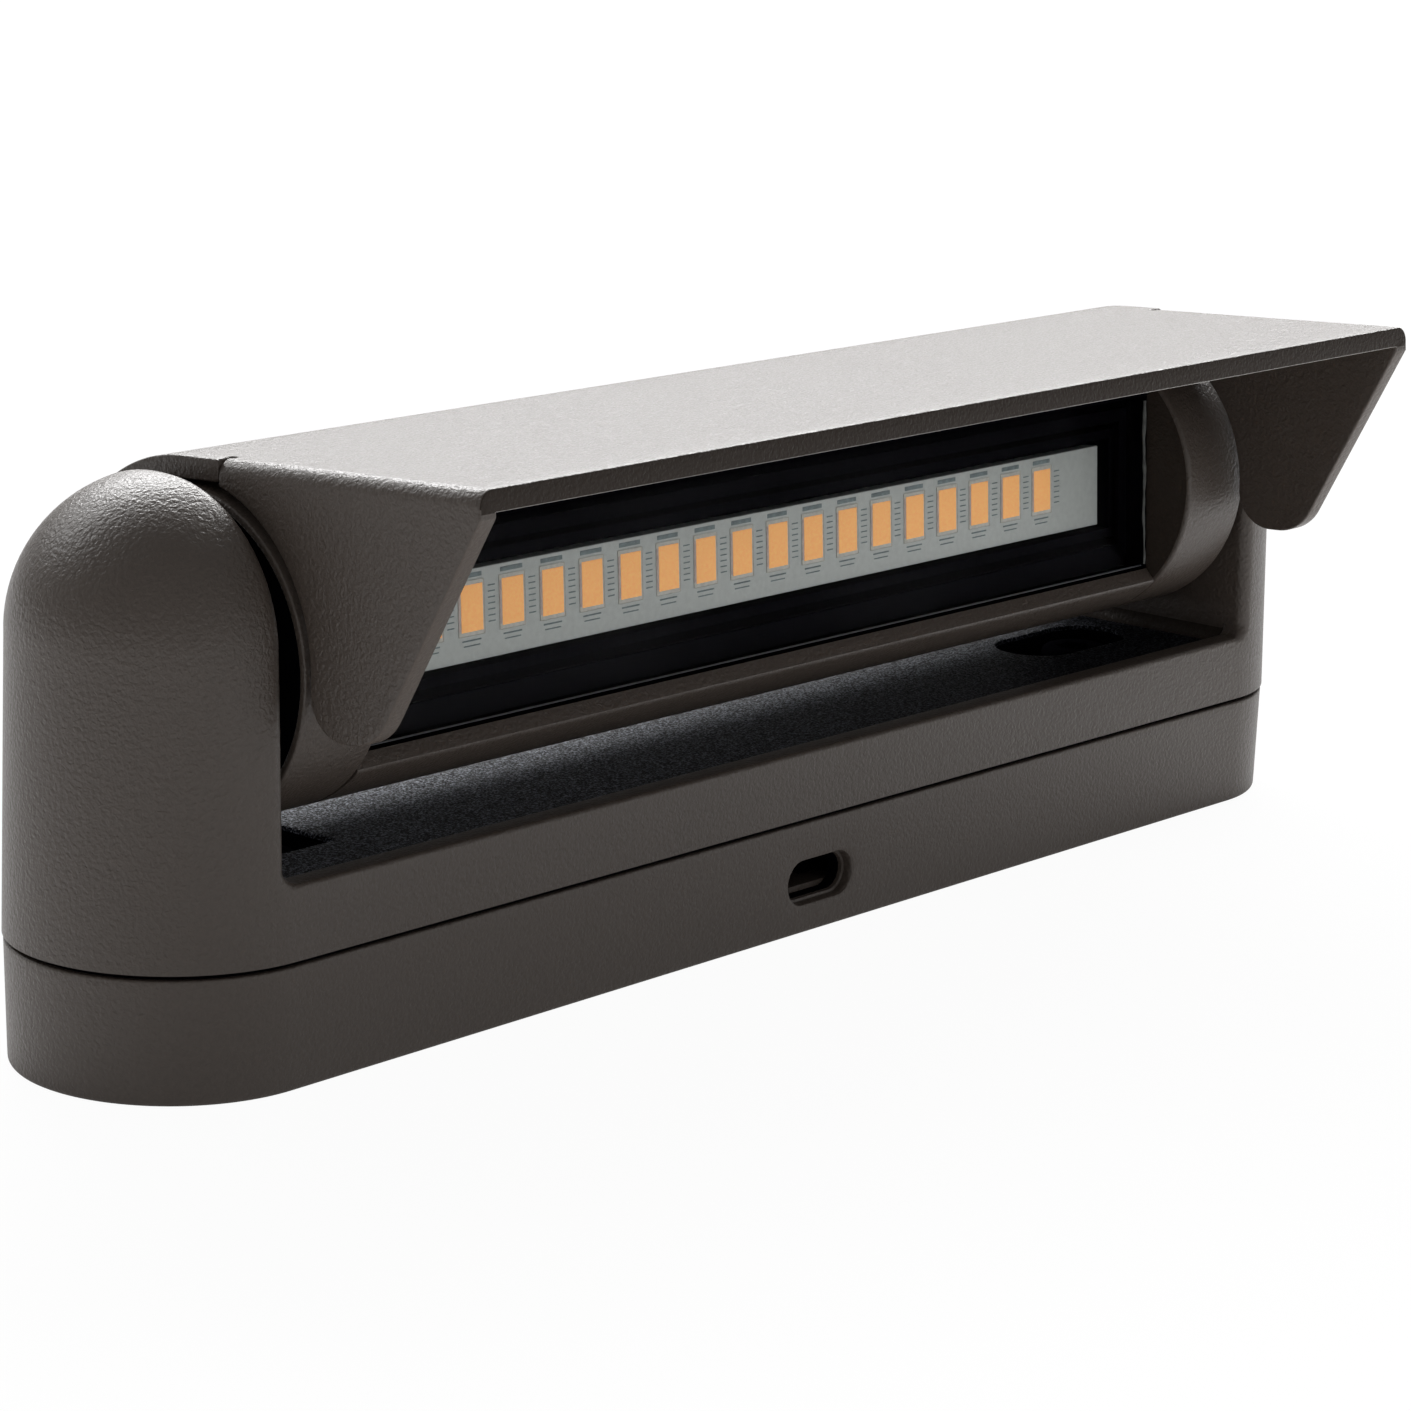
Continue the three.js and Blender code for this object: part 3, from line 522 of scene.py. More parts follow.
def lens_finish(name):
    """Thin coated glass: clear, with a trace of a mirror that smudges make uneven."""
    material, tree, shader = new_material(name)
    tree.nodes.remove(shader)
    clear = add_node(tree, "BsdfTransparent", {"Color": (0.98, 0.985, 0.99, 1)})
    mirror = add_node(tree, "BsdfGlossy", {"Roughness": 0.08})
    smudge = ramp(tree, object_noise(tree, 60), (0.3, 0.001), (0.8, 0.004))
    show_mix(tree, "Material Output", smudge, clear, mirror)
    return material


def deep_black(name):
    """Matte black that hardly mirrors the room, with a faint blotch in its depth. It is the colour of the black
    parts, and painted shade deep in the slot and the pockets, on the slope above the lens and on the screws in the
    pockets.
    """
    material, tree, shader = new_material(name)
    blotch = (0.3, (0.0016, 0.0015, 0.0022)), (0.7, (0.003, 0.0028, 0.004))
    feed(tree, shader, {
        "Roughness": 0.9, "Specular IOR Level": 0.0,
        "Base Color": ramp(tree, object_noise(tree, 700), *blotch),
    })
    return material


# Settings that a user would change

class LightFinish(bpy.types.PropertyGroup):
    """Colours and gloss of the light's finishes."""
    paint: bpy.props.FloatVectorProperty(
        name="Paint", description="Colour of the powder coat", subtype="COLOR", size=3,
        default=(0.064, 0.05, 0.041), min=0.0, max=1.0)
    paint_roughness: bpy.props.FloatProperty(
        name="Paint roughness", description="Gloss of the powder coat, from mirror to chalk",
        default=0.42, min=0.0, max=1.0, subtype="FACTOR")
    board: bpy.props.FloatVectorProperty(
        name="Board", description="Colour of the emitter board", subtype="COLOR", size=3,
        default=(0.49, 0.51, 0.48), min=0.0, max=1.0)
    phosphor: bpy.props.FloatVectorProperty(
        name="Phosphor", description="Colour of the unlit emitters", subtype="COLOR", size=3,
        default=(1.0, 0.485, 0.17), min=0.0, max=1.0)


class LightStage(bpy.types.PropertyGroup):
    """Brightness of the studio."""
    room_level: bpy.props.FloatProperty(
        name="Room level", description="Strength of the even light from all round",
        default=0.31, min=0.0, max=4.0)
    back_power: bpy.props.FloatProperty(
        name="Back light", description="Power of the long lamp above and behind",
        default=20.9, min=0.0, max=200.0, unit="POWER")
    front_power: bpy.props.FloatProperty(
        name="Front light", description="Power of the large soft lamp in front",
        default=0.64, min=0.0, max=200.0, unit="POWER")
    table_glow: bpy.props.FloatProperty(
        name="Table glow", description="Light that the lit table gives from below",
        default=0.31, min=0.0, max=1.0, subtype="FACTOR")
    floor_colour: bpy.props.FloatVectorProperty(
        name="Floor", description="Colour of the floor", subtype="COLOR", size=3,
        default=(0.86, 0.86, 0.86), min=0.0, max=1.0)


# Shades of the powder coat: share of the paint's colour, and mirror. The darker coat is painted shade, and the
# lighter one a painted highlight
COATS = {"bronze_paint": (1.0, 0.5), "cut_edge": (0.55, 0.08), "light_edge": (1.35, 0.5)}

# Plain finishes: colour, roughness, metallic, spread of the grain's colours and scale of the grain
PLAIN_FINISHES = {
    # The pale edge is a painted highlight, on the fine round under the hood's front cut
    "bare_edge": ((0.55, 0.53, 0.5), 0.4, 0.0, 0.3, 2500),
    "stainless": ((0.4, 0.4, 0.39), 0.38, 1.0, 0.05),
    "black_oxide": ((0.006, 0.006, 0.007), 0.5, 0.3),
    "turned_brass": ((0.6, 0.42, 0.16), 0.3, 1.0),
    "ground_glass": ((0.03, 0.033, 0.04), 0.4, 0.0, 0.4, 1500),
    "green_mask": ((0.03, 0.1, 0.045), 0.45),
    "mask_print": ((0.16, 0.2, 0.2), 0.6, 0.0, 0.25, 3000),
    "emitter_case": ((0.56, 0.54, 0.48), 0.5, 0.0, 0.12),
    "electrode": ((0.5, 0.4, 0.36), 0.5, 0.0, 0.15),
    "silicone": ((0.09, 0.095, 0.09), 0.45, 0.0, 0.6, 1500),
}
OTHER_FINISHES = {"shaded_paint": painted_shade_and_glint_coat, "deep_black": deep_black, "lens": lens_finish}

# The finish of each material slot's carried-over parts
SLOT_FINISHES = {
    "bronze_paint": "bronze_paint", "steel": "stainless", "black_steel": "black_oxide",
    "brass": "turned_brass", "rubber": "deep_black", "black_plastic": "deep_black",
    "green_board": "green_mask", "light_board": "grey_mask", "phosphor": "phosphor",
    "clear_glass": "lens",
}


def finish_of(kind):
    """One of the light's materials by its kind, made on first use."""
    name = f"{kind}_finish"
    settings = bpy.context.scene.light_finish
    if name in bpy.data.materials:
        return bpy.data.materials[name]
    if kind in COATS:
        share, mirror = COATS[kind]
        return powder_coat(name, share * np.array(settings.paint), settings.paint_roughness, mirror)
    if kind in PLAIN_FINISHES:
        return plain_finish(name, *PLAIN_FINISHES[kind])
    if kind == "grey_mask":
        return plain_finish(name, settings.board, 0.5, spread=0.07, grain=2500)
    if kind == "phosphor":
        return phosphor_with_painted_glow(name, settings.phosphor)
    return OTHER_FINISHES[kind](name)


# Base

def base_rings():
    """Radius and height of every ring of the housing, from the recess below, round the outside,
    to the closed top."""
    foot = arc((BASE_FOOT_RADIUS - BASE_EDGE, BASE_EDGE), BASE_EDGE, -90, 0, 5)
    draft = (BASE_TOP_RADIUS - BASE_FOOT_RADIUS) / BASE_HEIGHT
    wall_heights = np.linspace(0.8 * MM, BASE_HEIGHT - 0.7 * MM, BASE_WALL_ROWS + 1)
    wall = np.stack([BASE_FOOT_RADIUS + draft * wall_heights, wall_heights], axis=-1)
    brow = arc((BASE_TOP_RADIUS - BASE_EDGE / 2, BASE_HEIGHT - BASE_EDGE / 2), BASE_EDGE / 2, 0, 90, 4)
    recess = [
        (0, PLATE_RECESS_HEIGHT),
        (PLATE_RECESS_RADIUS, PLATE_RECESS_HEIGHT),
        (PLATE_RECESS_RADIUS, 0),
    ]
    return np.concatenate([recess, foot, wall, brow, [(0, BASE_HEIGHT)]]), len(recess) + len(foot)


class LIGHT_OT_base(bpy.types.Operator):
    """Make the base housing, with its soft foot and the lead slot in its front"""
    bl_idname = "light.make_base"
    bl_label = "Make base"

    def execute(self, context):
        rings, wall_start = base_rings()
        front = np.linspace(-SLOT_WINDOW, SLOT_WINDOW, SLOT_COLUMNS + 1)
        path = stadium_path(front)
        points = np.stack([ring_at(path, radius, height) for radius, height in rings])
        window = (wall_start, wall_start + BASE_WALL_ROWS, 0, SLOT_COLUMNS)
        plane = ((1, 0, 0), (0, 0, 1), (0, 1, 0))

        def outline(directions, offset):
            return obround(directions, SLOT_HALF_STRAIGHT, SLOT_RADIUS + offset)

        loops = punch(points, window, SLOT_CENTRE, plane, outline, SLOT_PROFILE)
        # The slot's deep wall and floor are black: painted shade
        make_piece("base_casting", [holed(points, [window]), *tunnel(loops, SLOT_DARK_FROM)],
                   ("bronze_paint", "deep_black"), STAND, ["base_housing"])
        return {"FINISHED"}


# Yoke

def yoke_radius(height):
    """Radius of the yoke's outside: it loses its draft evenly from the foot to the shoulder."""
    share = np.clip((height - YOKE_BOTTOM) / (SHOULDER_HEIGHT - YOKE_BOTTOM), 0, 1)
    return YOKE_FOOT_RADIUS + (POST_RADIUS - YOKE_FOOT_RADIUS) * share


def outside_at(along, height):
    """Half width of the yoke's outside at one place along it: straight, then round the end."""
    beyond = np.maximum(np.abs(along) - HALF_STRAIGHT, 0)
    return np.sqrt(yoke_radius(height) ** 2 - beyond ** 2)


def trough_section(along, turn=0.0):
    """The closed outline across the trough: foot, front wall, rounded lip, floor, and the same
    behind, as (along, across, up) points.

    Against a post the lip and the floor turn up in a quarter round, and turn is how far round it the
    outline stands. Its outer edge turns with it, from the lip's edge into the post's own."""
    sign = 1 if along > 0 else -1
    place = abs(along) + TROUGH_FILLET * math.sin(turn)
    lift = TROUGH_FILLET * (1 - math.cos(turn))
    edge = LIP_EDGE + (POST_EDGE - LIP_EDGE) * turn / (math.pi / 2)
    lip, floor = LIP_HEIGHT + lift, FLOOR_HEIGHT + lift
    outer, low = place + edge * math.sin(turn), lip - edge * math.cos(turn)
    wall_heights = np.linspace(YOKE_BOTTOM, low, 4)
    wall = np.stack([np.full(4, outer), outside_at(outer, wall_heights), wall_heights], axis=-1)
    round_turn = angles(0, 90, 8)[1:]
    brow = np.stack([
        outer - edge * np.sin(round_turn) * math.sin(turn),
        wall[-1, 1] - edge * (1 - np.cos(round_turn)),
        low + edge * np.sin(round_turn) * math.cos(turn),
    ], axis=-1)
    inner = YOKE_FOOT_RADIUS - LIP_WIDTH
    crest = arc((inner + LIP_INNER_EDGE, lip - LIP_INNER_EDGE), LIP_INNER_EDGE, 90, 180, 4)
    toe = arc((inner - LIP_INNER_EDGE, floor + LIP_INNER_EDGE), LIP_INNER_EDGE, 0, -90, 4)
    flat = np.linspace((POCKET_WINDOW * POCKET_HALF_WIDTH, floor), (0, floor), POCKET_CELLS // 2 + 1)
    level = np.insert(np.concatenate([crest, toe, flat]), 0, place, axis=1)
    half = np.concatenate([[(place, 0, YOKE_BOTTOM)], wall, brow, level])
    half[:, 0] *= sign
    return np.concatenate([half * (1, -1, 1), half[1:-1][::-1]]), len(half) - len(flat)


def trough():
    """The trough between the posts: its section carried along X, with a pocket at each end of its
    floor, the left one square and the right one round-ended."""
    sections, pockets = [], []
    for side, start in zip((-1, 1), POCKET_STARTS):
        middle, half = (start + POCKET_END) / 2, (POCKET_END - start) / 2
        window = middle + POCKET_WINDOW * half * np.linspace(-1, 1, POCKET_CELLS + 1)
        rows = [trough_section(side * along)[0] for along in window]
        fillet_start = side * (POST_FACE - TROUGH_FILLET)
        rows += [trough_section(fillet_start, turn)[0] for turn in angles(0, 90, 9)]
        rows.append((rows[-1] + (side * TROUGH_TUCK, 0, 0)) * (1, 0.98, 1))
        first = len(sections) if side > 0 else len(rows) - len(window)
        pockets.append((side, side * middle, half, first))
        sections += rows[::side]
    points = np.stack(sections)
    floor_start = trough_section(POCKET_END)[1]
    plane = ((1, 0, 0), (0, 1, 0), (0, 0, -1))
    patches, windows = [], []
    for side, middle, half, first in pockets:
        def outline(directions, offset):
            if side > 0:
                return obround(directions, half - POCKET_HALF_WIDTH, POCKET_HALF_WIDTH + offset)
            grown = (1 + offset / half, 1 + offset / POCKET_HALF_WIDTH)
            return oblong(directions, half, POCKET_HALF_WIDTH) * grown

        window = (first, first + POCKET_CELLS, floor_start, floor_start + POCKET_CELLS)
        loops = punch(points, window, (middle, 0, FLOOR_HEIGHT), plane, outline, POCKET_PROFILE)
        # A pocket's rim takes the near black coat, painted shade with a painted reflection, and its depth is
        # black, painted shade
        patches += tunnel(loops, POCKET_DARK_FROM, 2)
        windows.append(window)
    shell, faces = holed(points, windows)
    across, height = shell.T[1:]
    # Painted shade: the flat floor takes the near black coat with a painted reflection, and the rest inside the
    # lips the darker coat
    inside = (np.abs(across) < YOKE_FOOT_RADIUS - LIP_WIDTH) & (height > FLOOR_HEIGHT - FLOOR_MARGIN)
    shade_and_glint_floor = inside & (height < FLOOR_HEIGHT + FLOOR_MARGIN)
    wall, floor = split((shell, faces + end_caps(points)), shade_and_glint_floor, 2)
    return [*split(wall, inside, 3), floor, *patches]


def dome_arch(out, scale):
    """The dome's outline in a plane across the post, out from its axis, as (across, up) points.

    The dome is a quarter round of the post's radius less a small flat, turned about the post's axis.
    The scale shrinks it towards the shoulder."""
    rounding = POST_RADIUS - DOME_FLAT
    last = math.acos(min(max((out - DOME_FLAT) / rounding, 0), 1))
    rise = last * np.sin(DOME_LEAN)
    reach = DOME_FLAT + rounding * np.cos(rise)
    across = -np.sign(np.cos(DOME_LEAN).round(9)) * np.sqrt(np.maximum(reach ** 2 - out ** 2, 0))
    return scale * across, SHOULDER_HEIGHT + scale * (DOME_FLAT + rounding * np.sin(rise))


def post(side):
    """One domed post: arches side by side, from the flat inner face, round its soft edge, to the
    outer end, where they close on a line.

    An arch is two upright sides joined over the dome. Its half width is the outside's radius times
    the cosine of how far round the end it stands."""
    heights = np.linspace(YOKE_BOTTOM, SHOULDER_HEIGHT, POST_ROWS)
    radius = yoke_radius(heights)

    def arch(along_sides, half_sides, along_top, out, scale=1.0):
        front = np.stack([np.broadcast_to(along_sides, POST_ROWS), -half_sides, heights], axis=-1)
        across, up = dome_arch(out, scale)
        top = np.stack([np.full(len(up), along_top), across, up], axis=-1)
        return np.concatenate([front, top, front[::-1] * (1, -1, 1)])

    def inside(out, inset):
        return 1 - inset / math.sqrt(POST_RADIUS ** 2 - out ** 2)

    offset = POST_FACE - HALF_STRAIGHT
    face_sides = np.sqrt(radius ** 2 - offset ** 2) - POST_EDGE
    rows = []
    for share in (0, 0.5):
        scale = share * inside(offset, POST_EDGE)
        rows.append(arch(POST_FACE, share * face_sides, POST_FACE, offset, scale))
    for turn in angles(0, 90, 6):
        inset = POST_EDGE * (1 - math.sin(turn))
        out = offset + POST_EDGE * (1 - math.cos(turn))
        sides, along = np.sqrt(radius ** 2 - out ** 2) - inset, HALF_STRAIGHT + out
        rows.append(arch(along, sides, along, out, inside(out, inset)))
    start = math.asin((offset + POST_EDGE) / POST_RADIUS)
    for turn in np.linspace(start, math.pi / 2, 41)[1:]:
        out = POST_RADIUS * math.sin(turn)
        along_sides, sides = HALF_STRAIGHT + radius * math.sin(turn), radius * math.cos(turn)
        rows.append(arch(along_sides, sides, HALF_STRAIGHT + out, out))
    return surface(np.stack(rows) * (side, 1, 1))


class LIGHT_OT_yoke(bpy.types.Operator):
    """Make the yoke: the trough with its pockets, and a domed post at each end"""
    bl_idname = "light.make_yoke"
    bl_label = "Make yoke"

    def execute(self, context):
        make_piece("yoke_casting", [*trough(), post(-1), post(1)],
                   ("bronze_paint", "deep_black", "shaded_paint", "cut_edge"),
                   STAND, ["yoke"], sharp=40)
        return {"FINISHED"}


# Head

def body_outline():
    """The extrusion's closed outline: round the back from lip to lip, each lip's soft edge, the
    slopes to the lens, and the recess behind it."""
    lip_up = math.sqrt(HEAD_RADIUS ** 2 - LIP_AHEAD ** 2)
    start = math.degrees(math.atan2(lip_up, LIP_AHEAD)) + LIP_ROUND_ANGLE
    back = arc((0, 0), HEAD_RADIUS, start, 360 - start, BODY_STEPS)
    edge = np.array([
        (LIP_AHEAD - 0.03 * MM, -lip_up + 0.02 * MM),
        (LIP_AHEAD - 0.02 * MM, -lip_up + 0.12 * MM),
        (LIP_AHEAD - 0.12 * MM, -lip_up + 0.26 * MM),
        (LENS_AHEAD, -SHELF_HALF_HEIGHT),
        (SHELF_AHEAD, -SHELF_HALF_HEIGHT),
        (SHELF_AHEAD, -RECESS_HALF_HEIGHT),
        (RECESS_AHEAD, -RECESS_HALF_HEIGHT),
    ])
    return np.concatenate([back, edge, edge[::-1] * (1, -1)])


class LIGHT_OT_head_body(bpy.types.Operator):
    """Make the head's extruded body and the round cap at each end"""
    bl_idname = "light.make_head_body"
    bl_label = "Make head body"

    def execute(self, context):
        grid = in_head(np.array([[-BODY_HALF_LENGTH], [BODY_HALF_LENGTH]]), *body_outline().T)
        points, faces = capped(grid)
        # Black behind the lens; the slope and round above it black as painted shade
        recess = faces[RECESS_START:RECESS_START + RECESS_AND_SHADED_SLOPE_FACES]
        skin = faces[:RECESS_START] + faces[RECESS_START + RECESS_AND_SHADED_SLOPE_FACES:]
        make_piece("head_extrusion", [(points, skin), (points, recess, 1)],
                   ("bronze_paint", "deep_black"), HEAD, ["head_body"])
        outer = BODY_HALF_LENGTH - 0.02 * MM
        inner = BODY_HALF_LENGTH - 0.1 * MM
        ends = []
        for low, high in ((-outer, -inner), (inner, outer)):
            for back, front, half in (
                (RECESS_AHEAD + 0.05 * MM, SHELF_AHEAD + 0.1 * MM, RECESS_HALF_HEIGHT - 0.02 * MM),
                (SHELF_AHEAD + 0.05 * MM, LENS_AHEAD, SHELF_HALF_HEIGHT - 0.05 * MM),
            ):
                ends.append(head_block((low, back, -half), (high, front, half), 0.02 * MM))
        make_piece("recess_ends", ends, ["deep_black"], HEAD)
        for name, side in (("left", -1), ("right", 1)):
            make_piece(f"end_ring_{name}", self.ring(side), ("bronze_paint", "deep_black", "cut_edge"),
                       HEAD, [f"end_cap_{name}"])
        return {"FINISHED"}

    def ring(self, side):
        """A cap turned round the tilt axis: soft rims, a bore for the pivot, and a dark sunk face towards the post
        inside a narrow rim. Its flat face towards the middle of the head has the darker coat, as painted shade."""
        near, far = BODY_HALF_LENGTH + 0.12 * MM, HEAD_HALF_LENGTH
        edge, fine, sunk = RING_EDGE, RING_FINE_EDGE, far - RING_SUNK
        rim_near = arc((near + edge, HEAD_RADIUS - edge), edge, 180, 90, 5)
        rim_far = arc((far - fine, HEAD_RADIUS - fine), fine, 90, 0, 5)
        rim_in = arc((far - fine, RING_RIM + fine), fine, 0, -90, 3)
        outside = np.concatenate([[(near, RING_BORE)], rim_near, rim_far, rim_in])
        inside = np.array([rim_in[-1], (sunk, RING_RIM), (sunk, RING_BORE), (near, RING_BORE)])
        turn = angles(0, 360, RING_STEPS)[:-1]
        patches = []
        for section in (outside, inside):
            along, out = section[:, :1], section[:, 1:]
            patches.append(surface(in_head(side * along, out * np.cos(turn), out * np.sin(turn))))
        skin, hollow = patches
        # The flat face towards the middle takes the darker coat: painted shade
        return [*split(skin, np.abs(skin[0][:, 0]) < near + 0.01 * MM, 2), (*hollow, 1)]


def wire_along(path, radius):
    """A thin bead in the head: small circles, of one radius for each point of the path, square to
    the line between the point's neighbours."""
    before, after = np.roll(path, 1, axis=0), np.roll(path, -1, axis=0)
    before[0], after[-1] = path[0], path[-1]
    ahead_of = after - before
    ahead_of /= np.linalg.norm(ahead_of, axis=1)[:, None]
    first = np.cross(ahead_of, (0.0, 1.0, 0.0))
    first /= np.linalg.norm(first, axis=1)[:, None]
    second = np.cross(first, ahead_of)
    turn = angles(0, 360, 8)[:-1, None]
    spokes = first[:, None] * np.cos(turn) + second[:, None] * np.sin(turn)
    rings = path[:, None] + spokes * np.broadcast_to(radius, len(path))[:, None, None]
    return capped(in_head(*np.moveaxis(rings, -1, 0)))


class LIGHT_OT_lens(bpy.types.Operator):
    """Make the lens, its ground lower edge, and the silicone that seals its end"""
    bl_idname = "light.make_lens"
    bl_label = "Make lens"

    def execute(self, context):
        half_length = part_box("lens_glass")[1].x
        low = (-half_length, LENS_AHEAD - LENS_THICKNESS, -LENS_HALF_HEIGHT)
        high = (half_length, LENS_AHEAD, LENS_HALF_HEIGHT)
        make_piece("lens_pane", [head_block(low, high, 0.12 * MM)], ["lens"],
                   HEAD, ["lens_glass"])
        along = np.linspace(-half_length, half_length, 40)
        path = np.stack(np.broadcast_arrays(along, LENS_AHEAD - 0.05 * MM, -LENS_HALF_HEIGHT), -1)
        make_piece("lens_edge", [wire_along(path, 0.06 * MM)], ["ground_glass"], HEAD)
        share = np.linspace(-1, 1, 60)
        wave = 0.05 * np.sin(7 * share + 1) + 0.02 * np.sin(19 * share)
        along = half_length + (0.28 + wave) * MM
        up = 0.99 * LENS_HALF_HEIGHT * share
        path = np.stack(np.broadcast_arrays(along, LENS_AHEAD + 0.02 * MM, up), -1)
        swell = (0.1 + 0.02 * np.sin(11 * share) + 0.01 * np.sin(29 * share + 2) + 0.03 * share) * MM
        make_piece("silicone_bead", [wire_along(path, swell)], ["silicone"], HEAD)
        return {"FINISHED"}


class LIGHT_OT_light_engine(bpy.types.Operator):
    """Make the board with its printed marks, and the emitters on it"""
    bl_idname = "light.make_light_engine"
    bl_label = "Make light engine"

    def execute(self, context):
        low, high = self.limits("led_board")
        board_front = high[1] + 0.3 * MM
        board = head_block(low, (high[0] - 0.45 * MM, board_front, high[2]), 0.06 * MM)
        make_piece("emitter_board", [board], ["grey_mask"], HEAD, ["led_board"])
        case_front = board_front + PRINT_RISE
        nodes = sorted(node for node in frame["nodes"] if node[:4] == "led_" and node[4:].isdigit())
        marks = []
        for number, node in enumerate(nodes, 1):
            low, high = self.limits(node)
            middle = (low + high) / 2
            case = head_block(low, (high[0], case_front, high[2]), 0.05 * MM)
            glow = self.mark(middle, *GLOW, case_front, board_front + 0.05 * MM)
            strip = self.mark(middle, *STRIP, case_front, case_front + PRINT_RISE)
            make_piece(f"emitter_{number:02d}", [case, (*glow, 1), (*strip, 2)],
                       ("emitter_case", "phosphor", "electrode"), HEAD, [node])
            for dash in DASHES:
                marks.append(self.mark(middle, *dash, board_front, board_front + PRINT_RISE))
        make_piece("board_print", marks, ["mask_print"], HEAD)
        return {"FINISHED"}

    def mark(self, middle, along, up, half_width, half_height, back, front):
        """A thin rounded block placed from an emitter's middle."""
        along, up = middle[0] + along * MM, middle[2] + up * MM
        low = (along - half_width * MM, back - 0.04 * MM, up - half_height * MM)
        return head_block(low, (along + half_width * MM, front, up + half_height * MM), 0.02 * MM)

    def limits(self, node):
        """A node's (along, ahead, up) limits in the head, from its vertices turned back."""
        placed = np.stack(from_head(vertices_of(frame["nodes"][node])))
        return placed.min(axis=1), placed.max(axis=1)


# Hood

def cheek_side(up):
    """How far out a cheek's skin stands: straight above the bend's middle, leaning out below it."""
    return HOOD_HALF_LENGTH + CHEEK_SPLAY * np.maximum(HOOD_HEIGHT - HOOD_BEND - up, 0)


def edge_loop(rear, rear_out, front, front_out, shares):
    """One closed loop across a sheet between two edges, as points in the sheet's plane and depths.

    A point of an edge's round at angle t stands in by the edge times (1 - sin t) and below the skin
    by the edge times (1 - cos t); the skin's points lie between the rounds at the given shares."""
    inset = np.concatenate([RIM_INSET, RIM_INSET[::-1]])[:, None]
    depth = np.concatenate([RIM_DEPTH, HOOD_SHEET - RIM_DEPTH[::-1]])
    front_round = np.asarray(front) - inset * front_out
    rear_round = np.asarray(rear) - inset * rear_out
    skin = rear_round[0] + np.asarray(shares)[:, None] * (front_round[0] - rear_round[0])
    plane = np.concatenate([skin, front_round, skin[::-1], rear_round[::-1]])
    depths = np.concatenate([np.zeros(len(skin)), depth, np.full(len(skin), HOOD_SHEET), depth[::-1]])
    return plane, depths


def sheet_loop(rear, front, shares):
    """A closed loop straight along the sheet, from one place ahead of the axis to another."""
    return edge_loop((rear, 0), (-1, 0), (front, 0), (1, 0), shares)


def slit_half_width(along):
    """Half the width of the cut between curl and fold: a round relief hole, then a fine cut."""
    into = along - (HOOD_HALF_LENGTH - RELIEF_INSET)
    hole = np.sqrt(max(RELIEF_RADIUS ** 2 - into ** 2, 0))
    return hole if into < 0 else max(hole, SLIT_HALF_WIDTH)


def curl_loop(front, shares, shrink=0.0):
    """A loop of the sheet along its length, as (ahead, up): flat ahead of the axis, and behind it
    round the axis at the skin's radius less the depth."""
    plane, depth = sheet_loop(CURL_START + shrink, front - shrink, shares)
    depth = shrink + depth * (1 - 2 * shrink / HOOD_SHEET)
    angle = np.minimum(plane[:, 0], 0) / HOOD_HEIGHT
    radius = HOOD_HEIGHT - depth
    return np.maximum(plane[:, 0], 0) + radius * np.sin(angle), radius * np.cos(angle)


def slit_stations():
    """Places along the cut between curl and fold, close together round its relief hole."""
    middle = HOOD_HALF_LENGTH - RELIEF_INSET
    return middle - RELIEF_RADIUS * np.cos(angles(0, 90, 7))


def hood_top():
    """The top plate with its curl: one loop along the sheet, carried from cut to cut."""
    places = np.concatenate([
        np.linspace(CURL_START + HOOD_EDGE, FOLD_REAR - HOOD_EDGE, 64)[1:],
        np.linspace(FOLD_REAR + HOOD_EDGE, HOOD_FRONT - HOOD_EDGE, 14)[:-1],
    ])
    shares = (places - CURL_START - HOOD_EDGE) / (HOOD_FRONT - CURL_START - 2 * HOOD_EDGE)
    ahead, up = curl_loop(HOOD_FRONT, shares)
    edge = slit_stations()[0]
    return surface(in_head(np.array([[-edge], [edge]]), ahead, up))


def curl_end(side):
    """The square end of the curl, beyond the relief hole, with a rounded rim and a flat cap."""
    shares = np.linspace(0, 1, 64)[1:-1]
    flat = [(along, 0.0) for along in slit_stations()]
    rims = zip(HOOD_HALF_LENGTH - RIM_INSET, RIM_DEPTH)
    rows = []
    for along, shrink in [*flat, *rims]:
        front = FOLD_REAR - slit_half_width(along)
        rows.append(in_head(side * along, *curl_loop(front, shares, shrink)))
    points, faces = surface(np.stack(rows))
    return points, faces + end_caps(np.stack(rows))[1:]


def slit_wall(side):
    """The end of the cut: a strip between the curl's front round and the fold's rear round."""
    along = slit_stations()[0]
    plane, depth = sheet_loop(FOLD_REAR, FOLD_REAR, [])
    half = len(depth) // 2
    ahead = np.stack([plane[:half, 0], plane[half:, 0][::-1]])
    down = np.stack([depth[:half], depth[half:][::-1]])
    return surface(in_head(side * along, ahead, HOOD_HEIGHT - down), closed=False)


def bend_rows(side):
    """Loops from the relief hole, out along the top and round the bend. The skin follows a quarter
    circle, and the inside a square corner; a point between lies at its share of the depth."""
    corner = np.array([cheek_side(HOOD_INSIDE) - HOOD_SHEET, HOOD_INSIDE])
    centre = (HOOD_HALF_LENGTH - HOOD_BEND, HOOD_HEIGHT - HOOD_BEND)
    flat = [(along, HOOD_HEIGHT) for along in slit_stations() if along < centre[0]]
    around = arc(centre, HOOD_BEND, 90, 0, 16)
    rows = []
    for along, up in [*flat, *around]:
        under = np.array([min(along, corner[0]), HOOD_INSIDE])
        rear = FOLD_REAR + slit_half_width(along)
        plane, depth = sheet_loop(rear, HOOD_FRONT, FOLD_SHARES)
        placed = np.array([along, up]) + (depth / HOOD_SHEET)[:, None] * (under - (along, up))
        rows.append(in_head(side * placed[:, 0], plane[:, 0], placed[:, 1]))
    return rows


